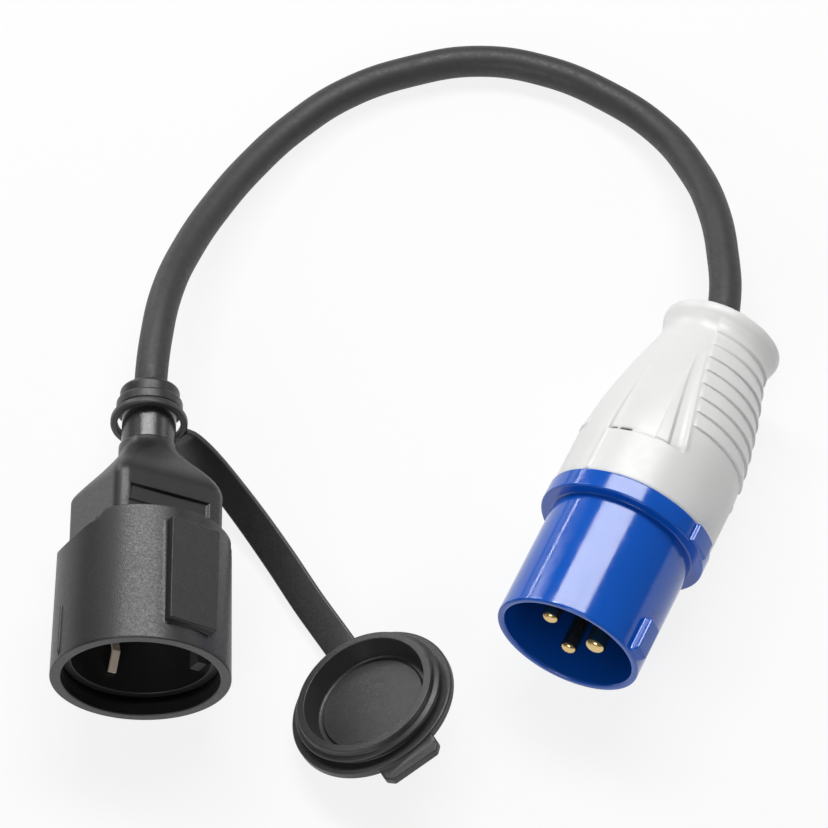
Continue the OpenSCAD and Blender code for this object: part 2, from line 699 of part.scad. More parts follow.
plug_housing();
plug_shroud();
housing_seal();
pin_carrier();
earth_pin();
line_pin();
neutral_pin();
terminal_screws();
clamp_saddle();
clamp_screws();
cable_grommet();
plug_core_earth();
plug_core_line();
plug_core_neutral();
coupler_body();
contact_insert();
line_contact();
neutral_contact();
earth_bracket();
coupler_core_earth();
coupler_core_line();
coupler_core_neutral();
sealing_cap();
cable();
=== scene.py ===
"""Dresses an adapter lead: a round site plug, a short cable and a rubber coupler with its sealing cap.

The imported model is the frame. Each moulding below is drawn in millimetres in its own terms, depth along
its axis and angle clockwise from up as seen facing it, and placed in metres.
"""

import json
import math
from types import SimpleNamespace

import bpy
import numpy as np
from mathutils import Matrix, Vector


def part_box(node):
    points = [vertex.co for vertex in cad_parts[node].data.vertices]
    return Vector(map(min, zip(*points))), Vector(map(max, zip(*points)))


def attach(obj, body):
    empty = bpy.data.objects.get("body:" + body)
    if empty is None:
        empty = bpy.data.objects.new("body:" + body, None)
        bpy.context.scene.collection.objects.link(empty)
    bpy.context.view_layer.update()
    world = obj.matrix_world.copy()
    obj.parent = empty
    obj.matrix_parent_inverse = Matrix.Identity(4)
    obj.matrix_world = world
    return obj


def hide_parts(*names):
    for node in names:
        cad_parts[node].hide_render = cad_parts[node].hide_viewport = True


bl_info = {
    "name": "Adapter lead",
    "version": (1, 0, 0),
    "blender": (4, 5, 0),
    "location": "View3D > Sidebar > Adapter lead",
    "description": "Dresses the packed adapter lead with its moulded skins, cable and finishes",
    "category": "Object",
}

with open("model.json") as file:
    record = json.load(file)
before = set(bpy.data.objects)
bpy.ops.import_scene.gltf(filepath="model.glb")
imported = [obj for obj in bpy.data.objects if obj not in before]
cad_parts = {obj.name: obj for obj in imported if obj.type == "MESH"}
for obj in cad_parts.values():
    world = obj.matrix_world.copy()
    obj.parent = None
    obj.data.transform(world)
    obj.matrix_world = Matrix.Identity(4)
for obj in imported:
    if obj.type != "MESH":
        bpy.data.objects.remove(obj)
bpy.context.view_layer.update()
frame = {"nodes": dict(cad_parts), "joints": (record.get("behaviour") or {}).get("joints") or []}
MM = 0.001
LEAD, CAP = "lead", "cap"


def linear(code):
    """The linear colour of an sRGB hex value."""
    channels = [int(code[i:i + 2], 16) / 255 for i in (1, 3, 5)]
    return tuple(c / 12.92 if c <= 0.04045 else ((c + 0.055) / 1.055) ** 2.4 for c in channels)


def length(name, description, size_mm):
    """A length property, its default given in millimetres."""
    return bpy.props.FloatProperty(name=name, description=description, default=size_mm * MM,
                                   min=0.0, precision=4, unit="LENGTH")


def angle(name, description, degrees):
    """An angle property, its default given in degrees."""
    return bpy.props.FloatProperty(name=name, description=description,
                                   default=math.radians(degrees), subtype="ANGLE")


def colour(name, description, code):
    """A colour property, its default given as an sRGB hex value."""
    return bpy.props.FloatVectorProperty(name=name, description=description, default=linear(code),
                                         min=0.0, max=1.0, subtype="COLOR")


class AdapterPlug(bpy.types.PropertyGroup):
    """Sizes of the round site plug"""
    flange: length("Flange radius", "Radius of the flange", 25.6)
    band: length("Band radius", "Radius of the housing's front band", 25.0)
    shroud: length("Shroud radius", "Outer radius of the shroud", 22.0)
    wall: length("Shroud wall", "Wall of the shroud", 2.2)
    face: length("Pin face", "Depth of the face that the pins stand on", 39.0)
    flange_front: length("Flange front", "Depth of the flange's front face", 38.5)
    flange_back: length("Flange back", "Depth of the joint between flange and housing", 44.5)
    lug: angle("Lug", "Middle of the locking lug on the flange, clockwise from up", 65.0)
    lug_half: angle("Lug half", "Half the angle that the locking lug takes up", 10.5)
    lug_rise: length("Lug rise", "Height of the locking lug on the flange", 1.4)
    band_end: length("Band end", "Depth at which the housing starts to taper", 62.0)
    waist: length("Waist", "Radius of the housing's waist", 16.8)
    waist_at: length("Waist depth", "Depth of the housing's waist", 105.0)
    tail: length("Tail", "Depth of the housing's end", 114.0)
    key: angle("Key angle", "Angle of the keying rib and the earth pin", 66)
    grip_first: length("First grip step", "Depth of the first grip step", 69.3)
    grip_pitch: length("Grip pitch", "Distance between grip steps", 5.1)
    grip_height: length("Grip height", "Height of a grip step", 0.7)
    grip_count: bpy.props.IntProperty(name="Grip steps", description="Number of grip steps on a side",
                                      default=8, min=1)
    panel_front: length("Panel front", "Depth of the sunk panel's front edge", 60.0)
    panel_depth: length("Panel depth", "Depth of the sunk panel at its front edge", 1.2)


class AdapterCoupler(bpy.types.PropertyGroup):
    """Sizes of the rubber coupler"""
    mouth: length("Mouth radius", "Outer radius of the mouth", 26.0)
    sleeve: length("Sleeve radius", "Radius of the sleeve's rear end", 25.2)
    sleeve_end: length("Sleeve end", "Depth of the sleeve's rear end", 43.5)
    step: length("Step radius", "Radius of the stepped mouth", 22.8)
    step_end: length("Step depth", "Depth of the stepped mouth", 5.8)
    recess: length("Recess radius", "Radius of the recess for a plug", 20.0)
    recess_end: length("Recess depth", "Depth at which the recess meets the insert", 31.0)
    roll: angle("Roll", "Roll of the coupler about its axis", 29.5)
    box: length("Body half width", "Half the side of the square body", 17.5)
    box_end: length("Body end", "Depth at which the shoulder starts", 56.0)
    corner: length("Body corner", "Corner radius of the square body", 4.0)
    neck: length("Neck radius", "Radius of the neck", 8.0)
    neck_at: length("Neck depth", "Depth at which the shoulder meets the neck", 76.0)
    collar: length("Collar radius", "Radius of the end collar", 9.9)
    collar_at: length("Collar depth", "Depth of the end collar", 88.0)
    tail: length("Tail", "Depth of the coupler's end", 96.2)


class AdapterCap(bpy.types.PropertyGroup):
    """Sizes of the sealing cap"""
    flange: length("Cap radius", "Radius of the cap's flange", 25.0)
    spigot: length("Rim radius", "Outer radius of the cap's rim", 21.2)
    bead: length("Bead radius", "Radius of the bead on the rim", 22.6)
    bore: length("Dish radius", "Inner radius of the rim", 18.5)
    rim: length("Rim height", "Height of the rim above the flange", 5.3)
    tilt: angle("Lean", "Lean of the cap as it lies on the table", 26)
    strap_width: length("Strap width", "Width of the strap", 9.8)
    strap_thickness: length("Strap thickness", "Thickness of the strap", 2.2)
    ring_bore: length("Ring bore", "Inner radius of the ring on the neck", 9.3)
    ring: length("Ring radius", "Outer radius of the ring on the neck", 11.4)


class AdapterCable(bpy.types.PropertyGroup):
    """Sizes of the cable"""
    diameter: length("Cable diameter", "Diameter of the cable", 9.8)
    length: length("Cable length", "Length of the cable from sheath end to sheath end", 409.0)


class AdapterFinish(bpy.types.PropertyGroup):
    """Colours of the finishes"""
    white: colour("Housing white", "Moulded housing", "#E8E8E7")
    blue: colour("Shroud blue", "Moulded shroud", "#0A58C2")
    rubber: colour("Rubber black", "Coupler and seals", "#1E1E1F")
    cap_rubber: colour("Rubber charcoal", "Cap, strap and ring", "#303031")
    sheath: colour("Sheath black", "Cable sheath", "#353536")
    insert: colour("Insert black", "Contact insert and clamp", "#48484A")
    # The pin carrier at the bottom of the shroud is coloured dark navy: the shroud's blue in painted shade.
    carrier_painted_shade: colour("Carrier blue", "Carrier of the pins", "#16234F")
    brass: colour("Brass", "Pins and contacts", "#DEC188")
    copper: colour("Copper alloy", "Earth strip", "#FBE9D3")
    zinc: colour("Zinc plate", "Screws", "#B9BCBE")
    earth: colour("Earth insulation", "Earth cores", "#7FA32B")
    line: colour("Line insulation", "Line cores", "#6B3F22")
    neutral: colour("Neutral insulation", "Neutral cores", "#2C62B5")


class AdapterSettings(bpy.types.PropertyGroup):
    """Everything that a user would change"""
    plug: bpy.props.PointerProperty(type=AdapterPlug)
    coupler: bpy.props.PointerProperty(type=AdapterCoupler)
    cap: bpy.props.PointerProperty(type=AdapterCap)
    cable: bpy.props.PointerProperty(type=AdapterCable)
    finish: bpy.props.PointerProperty(type=AdapterFinish)


def settings():
    """The adapter lead's sizes and colours in this scene."""
    return bpy.context.scene.adapter_lead


def millimetres(group):
    """A group's sizes as plain numbers, lengths in millimetres and angles in degrees."""
    values = {}
    for key, prop in group.bl_rna.properties.items():
        if prop.type == "FLOAT":
            value = getattr(group, key)
            values[key] = math.degrees(value) if prop.subtype == "ANGLE" else value / MM
        elif prop.type == "INT":
            values[key] = getattr(group, key)
    return SimpleNamespace(**values)


class Axis:
    """A piece's own terms: depth along its axis, radius, and angle clockwise from up."""

    def __init__(self, origin, back):
        self.origin = np.array(origin, float)
        self.back = np.array(back, float)
        self.right = np.cross(self.back, (0.0, 0.0, 1.0))
        self.right /= np.linalg.norm(self.right)
        self.up = np.cross(self.right, self.back)

    def at(self, depth, radius=0.0, degrees=0.0):
        """The place of a point, or of a row of points."""
        depth, radius, a = np.broadcast_arrays(depth, radius, np.radians(degrees))
        return (self.origin + depth[..., None] * self.back
                + (radius * np.sin(a))[..., None] * self.right
                + (radius * np.cos(a))[..., None] * self.up)


def node_axis(node):
    """An axis along the length of the plug, through the middle of a node and from its front."""
    low, high = (np.array(c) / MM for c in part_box(node))
    return Axis(((low[0] + high[0]) / 2, low[1], (low[2] + high[2]) / 2), (0, 1, 0))


# The ring's depth behind the coupler's mouth, and the place of the cap's flange as it lies on the table.
RING_DEPTH = 84.8
CAP_PLACE = (17.8, -55.4, 13.69)


def coupler_axis():
    """The coupler's axis from its mouth, found from the hinge at the ring on its neck."""
    hinge = frame["joints"][0]
    back = -np.array(hinge["axis"], float)
    return Axis(np.array(hinge["pos_m"]) / MM - RING_DEPTH * back, back)


def cap_axis(tilt):
    """The cap's axis from the top of its flange, where depth is height towards the open side."""
    t = math.radians(tilt)
    return Axis(CAP_PLACE, (-math.sin(t), 0, math.cos(t)))


def ease(t):
    """A smooth step from 0 to 1."""
    t = np.clip(t, 0.0, 1.0)
    return t * t * (3 - 2 * t)


def within(x, low, high, soft):
    """1 between low and high, 0 outside, with edges rounded over the width soft."""
    return ease((x - low) / soft + 0.5) * ease((high - x) / soft + 0.5)


def turn_from(columns, centre):
    """Signed angle of each column from a centre line."""
    return (columns - centre + 180) % 360 - 180


def spline(points, per_span):
    """Points on one smooth curve through the given ones."""
    p = np.array(points, float)
    p = np.vstack([2 * p[0] - p[1], p, 2 * p[-1] - p[-2]])
    out = []
    for i in range(1, len(p) - 2):
        gaps = [np.linalg.norm(p[i + k + 1] - p[i + k]) ** 0.5 for k in (-1, 0, 1)]
        m1 = gaps[1] * ((p[i] - p[i - 1]) / gaps[0] - (p[i + 1] - p[i - 1]) / (gaps[0] + gaps[1])
                        + (p[i + 1] - p[i]) / gaps[1])
        m2 = gaps[1] * ((p[i + 1] - p[i]) / gaps[1] - (p[i + 2] - p[i]) / (gaps[1] + gaps[2])
                        + (p[i + 2] - p[i + 1]) / gaps[2])
        for t in np.arange(per_span) / per_span:
            out.append((2 * t**3 - 3 * t**2 + 1) * p[i] + (t**3 - 2 * t**2 + t) * m1
                       + (-2 * t**3 + 3 * t**2) * p[i + 1] + (t**3 - t**2) * m2)
    return np.array(out + [p[-2]])


def filleted(corners, steps=6):
    """A section of (depth, radius, fillet) corners as points, each corner rounded by its fillet."""
    points = []
    for i, (x, y, fillet) in enumerate(corners):
        here = np.array((x, y), float)
        if not fillet:
            points.append(here)
            continue
        before = np.array(corners[i - 1][:2]) - here
        after = np.array(corners[(i + 1) % len(corners)][:2]) - here
        a, b = before / np.linalg.norm(before), after / np.linalg.norm(after)
        half = math.acos(np.clip(a @ b, -1, 1)) / 2
        reach = min(fillet / math.tan(half), 0.49 * np.linalg.norm(before), 0.49 * np.linalg.norm(after))
        r = reach * math.tan(half)
        centre = here + (a + b) / np.linalg.norm(a + b) * (r / math.sin(half))
        start, end = here + a * reach - centre, here + b * reach - centre
        sweep = math.acos(np.clip(start @ end / (r * r), -1, 1))
        for f in np.arange(steps + 1) / steps:
            points.append(centre + (math.sin((1 - f) * sweep) * start + math.sin(f * sweep) * end)
                          / math.sin(sweep))
    return guarded(points)


def guarded(points, reach=0.15):
    """Adds a point near both ends of each long span, which keeps flat faces flat in smooth shading."""
    out = [points[0]]
    for here, there in zip(points, points[1:]):
        span = np.linalg.norm(there - here)
        if span > 6 * reach:
            out += [here + (there - here) * reach / span, there + (here - there) * reach / span]
        out.append(there)
    return [tuple(p) for p in out]


def columns_with_edges(edges, coarse, reach, fine):
    """Angles round an axis, close together at the edges of moulded features."""
    angles = set(np.round(np.arange(0, 360, coarse), 3))
    for edge in edges:
        for step in np.arange(-reach, reach + fine / 2, fine):
            angles.add(round(float((edge + step) % 360), 3))
    return np.array(sorted(angles))


def rows_between(start, end, step, edges, reach, fine):
    """Depths along an axis, close together at the edges of moulded features."""
    depths = set(np.round(np.arange(start, end, step), 4)) | {round(end, 4)}
    for edge in edges:
        for d in np.arange(edge - reach, edge + reach + fine / 2, fine):
            if start < d < end:
                depths.add(round(float(d), 4))
    return sorted(depths)


def walls(rings, closed):
    """Faces between each ring of vertices and the next; a ring may be one point on the axis."""
    faces = []
    for a, b in zip(rings, rings[1:] + rings[:1] if closed else rings[1:]):
        for j in range(max(len(a), len(b))):
            quad = [a[j % len(a)], a[(j + 1) % len(a)], b[(j + 1) % len(b)], b[j % len(b)]]
            faces.append(list(dict.fromkeys(quad)))
    return faces


def turned(axis, section, columns, radius=None, closed=True):
    """Vertices and faces of a section turned about an axis; a radius function may mould its surface."""
    rings, verts = [], []
    for k, (depth, r) in enumerate(section):
        if r < 1e-6:
            rings.append([len(verts)])
            verts.append(axis.at(depth))
            continue
        rr = radius(columns, depth, r, k) if radius else np.full(len(columns), r)
        rings.append(list(range(len(verts), len(verts) + len(columns))))
        verts.extend(axis.at(depth, rr, columns))
    return np.array(verts), walls(rings, closed)


def new_object(name, data):
    """Adds an object at the origin."""
    obj = bpy.data.objects.new(name, data)
    bpy.context.scene.collection.objects.link(obj)
    return obj


def solid(name, verts, faces):
    """A smooth mesh object from millimetres, its faces outward."""
    verts = np.asarray(verts, float) * MM
    tris = np.array([(f[0], f[k], f[k + 1]) for f in faces for k in range(1, len(f) - 1)])
    a, b, c = (verts[tris[:, k]] for k in range(3))
    if np.einsum("ij,ij->i", a, np.cross(b, c)).sum() < 0:
        faces = [f[::-1] for f in faces]
    mesh = bpy.data.meshes.new(name)
    mesh.from_pydata(verts.tolist(), [], [list(map(int, f)) for f in faces])
    mesh.validate()
    mesh.shade_smooth()
    return new_object(name, mesh)


def applied(obj):
    """Turns an object's modifiers into its plain mesh."""
    evaluated = obj.evaluated_get(bpy.context.evaluated_depsgraph_get())
    mesh = bpy.data.meshes.new_from_object(evaluated)
    obj.modifiers.clear()
    obj.data = mesh
    return obj


def united(obj, *others):
    """Joins overlapping closed pieces of one moulding into one skin."""
    for other in others:
        join = obj.modifiers.new("Join", "BOOLEAN")
        join.operation, join.solver, join.object = "UNION", "EXACT", other
        applied(obj)
        bpy.data.objects.remove(other)


def placed(obj, body, material, node):
    """Gives a finished piece its finish and its body, and hides the CAD node that it stands for."""
    obj.data.materials.clear()
    obj.data.materials.append(material)
    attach(obj, body)
    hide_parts(node)


def add(tree, kind, links=None, **values):
    """Adds a node with its settings, gives its inputs values or links, and returns its first output."""
    node = tree.nodes.new(kind)
    for key, value in values.items():
        setattr(node, key, value)
    for key, value in (links or {}).items():
        if isinstance(value, bpy.types.NodeSocket):
            tree.links.new(value, node.inputs[key])
        else:
            node.inputs[key].default_value = value
    return next((socket for socket in node.outputs if socket.enabled), None)


def shade(base, factor):
    """A colour made lighter or darker."""
    return (*(min(1.0, c * factor) for c in base), 1.0)


# Most values of a noise pattern lie between these two.
NOISE_LOW, NOISE_HIGH = 0.3, 0.7
# How many finer layers each noise pattern has.
DRIFT_DETAIL, SATIN_DETAIL, GRAIN_DETAIL = 3.0, 4.0, 2.0


def finish(name, base, drift, satin, grains, **sockets):
    """A material whose colour drifts, whose gloss varies and whose surface has a grain.

    drift and satin hold the size of a patch in millimetres, then the range of shade or roughness.
    grains holds the size and depth in millimetres and the strength of each bump, the coarsest first.
    """
    material = bpy.data.materials.new(name)
    material.use_nodes = True
    tree = material.node_tree
    shader = tree.nodes["Principled BSDF"]
    shader.inputs["Base Color"].default_value = shade(base, 1.0)
    for key, value in sockets.items():
        shader.inputs[key].default_value = value
    where = add(tree, "ShaderNodeTexCoord").node.outputs["Object"]

    size, low, high = drift
    patches = add(tree, "ShaderNodeTexNoise", {"Vector": where, "Scale": 1 / (size * MM),
                                               "Detail": DRIFT_DETAIL})
    tint = add(tree, "ShaderNodeMix", {"Factor": patches, "A": shade(base, low), "B": shade(base, high)},
               data_type="RGBA")
    tree.links.new(tint, shader.inputs["Base Color"])
    if satin:
        size, low, high = satin
        patches = add(tree, "ShaderNodeTexNoise", {"Vector": where, "Scale": 1 / (size * MM),
                                                   "Detail": SATIN_DETAIL})
        gloss = add(tree, "ShaderNodeMapRange", {"Value": patches, "From Min": NOISE_LOW,
                                                 "From Max": NOISE_HIGH, "To Min": low, "To Max": high})
        tree.links.new(gloss, shader.inputs["Roughness"])
    coarser = {}
    for size, depth, strength in grains:
        grit = add(tree, "ShaderNodeTexNoise", {"Vector": where, "Scale": 1 / (size * MM),
                                                "Detail": GRAIN_DETAIL})
        bump = add(tree, "ShaderNodeBump", {"Height": grit, "Strength": strength, "Distance": depth * MM,
                                            **coarser})
        coarser = {"Normal": bump}
    tree.links.new(bump, shader.inputs["Normal"])
    return material


def overlaid(material, factor, tint):
    """Lays a second colour over a finish, where the factor is 1."""
    tree = material.node_tree
    base = tree.nodes["Principled BSDF"].inputs["Base Color"]
    mixed = add(tree, "ShaderNodeMix", {"Factor": factor, "A": base.links[0].from_socket, "B": tint},
                data_type="RGBA")
    tree.links.new(mixed, base)


def moulded_abs_white():
    """ABS moulded in a fine-eroded tool: a bright satin with a soft, broad highlight, and painted shade in
    its slits.
    """
    base = settings().finish.white
    # The eroded grain is about 0.05 mm, too fine to show, so it is drawn at 0.35 mm.
    material = finish("Moulded ABS white", base, (9.0, 0.97, 1.02), (2.5, 0.32, 0.4), [(0.35, 0.02, 0.25)],
                      IOR=1.53)
    # Painted shade: where the slit mask is 1 the colour goes nearly black, standing in for the shadow in the
    # slits.
    slit = add(material.node_tree, "ShaderNodeAttribute", attribute_name="slit").node.outputs["Fac"]
    overlaid(material, slit, shade(base, 0.01))
    return material


def moulded_polyamide_blue():
    """Polyamide from a polished tool: deep glossy blue with faint sink ripples in its reflections."""
    return finish("Moulded polyamide blue", settings().finish.blue, (14.0, 0.9, 1.08), (3.0, 0.1, 0.18),
                  [(6.0, 0.05, 0.12)], IOR=1.55)


# Around the neck, within the first distance, the rubber wears and carries a painted sheen; past the second it
# is plain, in millimetres. There its colour is painted paler by this factor, standing in for the neck's
# highlight, and it loses this share of its roughness.
SHEEN_AND_RUBBED_REACH, PAINTED_SHEEN_PALER, RUBBED_POLISH = (9.5, 11.0), 3.0, 0.4


def moulded_rubber(name, base, low, high, sheen_and_rubbed_at=None):
    """Rubber from a blasted tool: charcoal with a speckled satin sheen; near a given point, glossier from
    wear and paler with a painted sheen.
    """
    # The blasted grain is about 0.1 mm and is drawn at 0.32 mm, the finest that shows.
    material = finish(name, base, (5.0, 0.8, 1.25), (0.8, low, high),
                      [(2.2, 0.03, 0.04), (0.32, 0.06, 0.55)], IOR=1.6)
    if sheen_and_rubbed_at is None:
        return material
    tree = material.node_tree
    where = add(tree, "ShaderNodeTexCoord").node.outputs["Object"]
    away = add(tree, "ShaderNodeVectorMath", {0: where, 1: tuple(sheen_and_rubbed_at * MM)}, operation="DISTANCE")
    sheen_and_wear_to, plain_from = SHEEN_AND_RUBBED_REACH
    worn_and_sheen = add(tree, "ShaderNodeMapRange", {"Value": away, "From Min": sheen_and_wear_to * MM,
                                            "From Max": plain_from * MM, "To Min": 1.0, "To Max": 0.0})
    # Painted sheen: the colour is made paler near the point, standing in for the highlight there.
    overlaid(material, worn_and_sheen, shade(base, PAINTED_SHEEN_PALER))
    polish = add(tree, "ShaderNodeMath", {0: worn_and_sheen, 1: -RUBBED_POLISH, 2: 1.0}, operation="MULTIPLY_ADD")
    roughness = tree.nodes["Principled BSDF"].inputs["Roughness"]
    gloss = add(tree, "ShaderNodeMath", {0: roughness.links[0].from_socket, 1: polish}, operation="MULTIPLY")
    tree.links.new(gloss, roughness)
    return material


def extruded_rubber():
    """Rubber sheath drawn through a die: matt black, dusted with talc, with faint drawn waves."""
    return finish("Extruded rubber sheath", settings().finish.sheath, (3.0, 0.75, 1.35), (1.2, 0.45, 0.62),
                  [(4.0, 0.06, 0.2), (0.5, 0.04, 0.3)], IOR=1.52)


def turned_metal(name, base, roughness, metallic=1.0):
    """Bare turned or stamped metal: bright, with a slight cloudiness from handling."""
    # Turning marks are about 0.02 mm apart and are drawn at 0.3 mm.
    return finish(name, base, (3.0, 0.95, 1.03), (2.0, roughness - 0.02, roughness + 0.05),
                  [(0.3, 0.002, 0.03)], Metallic=metallic)


def moulded_thermoset(name, base):
    """Thermoset moulding: dark satin with a faint mottle."""
    return finish(name, base, (4.0, 0.85, 1.2), None, [(0.6, 0.03, 0.2)], Roughness=0.45, IOR=1.55)


def node_group(name, sockets):
    """A geometry node tree with named inputs, and the sockets that give them."""
    tree = bpy.data.node_groups.new(name, "GeometryNodeTree")
    tree.interface.new_socket("Geometry", in_out="OUTPUT", socket_type="NodeSocketGeometry")
    for label, kind in {"Geometry": "Geometry", **sockets}.items():
        tree.interface.new_socket(label, in_out="INPUT", socket_type=f"NodeSocket{kind}")
    return tree, add(tree, "NodeGroupInput").node.outputs


def ended(tree, geometry, material):
    """Ends a tree in plain geometry with its finish."""
    real = add(tree, "GeometryNodeRealizeInstances", {0: geometry})
    dressed = add(tree, "GeometryNodeSetMaterial", {"Geometry": real, "Material": material})
    add(tree, "NodeGroupOutput", {0: dressed})
    return tree


def grip_tree():
    """Raises ratchet steps on a turned skin: each grows towards the mouth, then drops."""
    tree, given = node_group("Grip steps", {
        "Mouth": "Vector", "First": "Float", "Pitch": "Float", "Count": "Int", "Height": "Float",
        "Centre": "Float", "Half Sweep": "Float", "Lean": "Float", "Material": "Material"})
    place = add(tree, "GeometryNodeInputPosition")
    local = add(tree, "ShaderNodeVectorMath", {0: place, 1: given["Mouth"]}, operation="SUBTRACT")
    xyz = add(tree, "ShaderNodeSeparateXYZ", {0: local}).node.outputs
    known = {socket.name: socket for socket in (*given, *xyz)}
    # The side nearest the panel leans with depth and the other stays, so middle and half move together.
    for result, operation, *inputs in (
            ("deep", "SUBTRACT", "Y", "First"),
            ("steps", "DIVIDE", "deep", "Pitch"),
            ("part", "FRACT", "steps"),
            ("after", "GREATER_THAN", "steps", 0.0),
            ("before", "LESS_THAN", "steps", "Count"),
            ("inside", "MULTIPLY", "after", "before"),
            ("turn", "ARCTAN2", "X", "Z"),
            ("lean", "MULTIPLY", "deep", "Lean"),
            ("middle", "ADD", "Centre", "lean"),
            ("half", "SUBTRACT", "Half Sweep", "lean"),
            ("off", "SUBTRACT", "turn", "middle"),
            ("wrapped", "WRAP", "off", math.pi, -math.pi),
            ("wide", "ABSOLUTE", "wrapped"),
            ("near", "SUBTRACT", "half", "wide")):
        links = {k: known.get(value, value) for k, value in enumerate(inputs)}
        known[result] = add(tree, "ShaderNodeMath", links, operation=operation)
    # A step's face is drawn over about a sixteenth of the pitch, so its crest is slightly rounded.
    reach = add(tree, "ShaderNodeMapRange", {"Value": known["part"], "From Max": 0.06},
                interpolation_type="SMOOTHSTEP")
    fall = add(tree, "ShaderNodeMapRange", {"Value": known["part"], "From Min": 0.05, "To Min": 1.0,
                                            "To Max": 0.0})
    edge = add(tree, "ShaderNodeMapRange", {"Value": known["near"], "From Max": 0.06},
               interpolation_type="SMOOTHSTEP")
    for factor in (fall, known["inside"], edge, given["Height"]):
        reach = add(tree, "ShaderNodeMath", {0: reach, 1: factor}, operation="MULTIPLY")
    flat = add(tree, "ShaderNodeCombineXYZ", {"X": xyz["X"], "Z": xyz["Z"]})
    out = add(tree, "ShaderNodeVectorMath", {0: flat}, operation="NORMALIZE")
    offset = add(tree, "ShaderNodeVectorMath", {0: out, "Scale": reach}, operation="SCALE")
    outside = add(tree, "GeometryNodeInputNamedAttribute", {"Name": "outside"}, data_type="BOOLEAN")
    moved = add(tree, "GeometryNodeSetPosition", {"Geometry": given["Geometry"], "Selection": outside,
                                                  "Offset": offset})
    return ended(tree, moved, given["Material"])


def strap_tree():
    """Sweeps a flat strap with rounded edges along a path that stores its width direction."""
    tree, given = node_group("Strap sweep", {"Width": "Float", "Thickness": "Float", "Edge": "Float",
                                             "Material": "Material"})
    path = add(tree, "GeometryNodeMeshToCurve", {"Mesh": given["Geometry"]})
    flat = add(tree, "GeometryNodeInputNamedAttribute", {"Name": "flat"}, data_type="FLOAT_VECTOR")
    path = add(tree, "GeometryNodeSetCurveNormal", {"Curve": path, "Normal": flat}, mode="FREE")
    swell = add(tree, "GeometryNodeInputNamedAttribute", {"Name": "swell"}, data_type="FLOAT")
    path = add(tree, "GeometryNodeSetCurveRadius", {"Curve": path, "Radius": swell})
    section = add(tree, "GeometryNodeCurvePrimitiveQuadrilateral", {"Width": given["Thickness"],
                                                                    "Height": given["Width"]})
    section = add(tree, "GeometryNodeFilletCurve", {"Curve": section, "Radius": given["Edge"], "Count": 4,
                                                    "Limit Radius": True}, mode="POLY")
    swept = add(tree, "GeometryNodeCurveToMesh", {"Curve": path, "Profile Curve": section, "Fill Caps": True})
    return ended(tree, swept, given["Material"])


def run_tree(obj, tree, **inputs):
    """Runs a node tree on an object, with its inputs set by their sockets, and keeps the plain mesh."""
    modifier = obj.modifiers.new(tree.name, "NODES")
    modifier.node_group = tree
    named = {item.name.replace(" ", "_").lower(): item.identifier for item in tree.interface.items_tree
             if item.in_out == "INPUT"}
    for key, value in inputs.items():
        modifier[named[key]] = value
    obj.update_tag()
    return applied(obj)


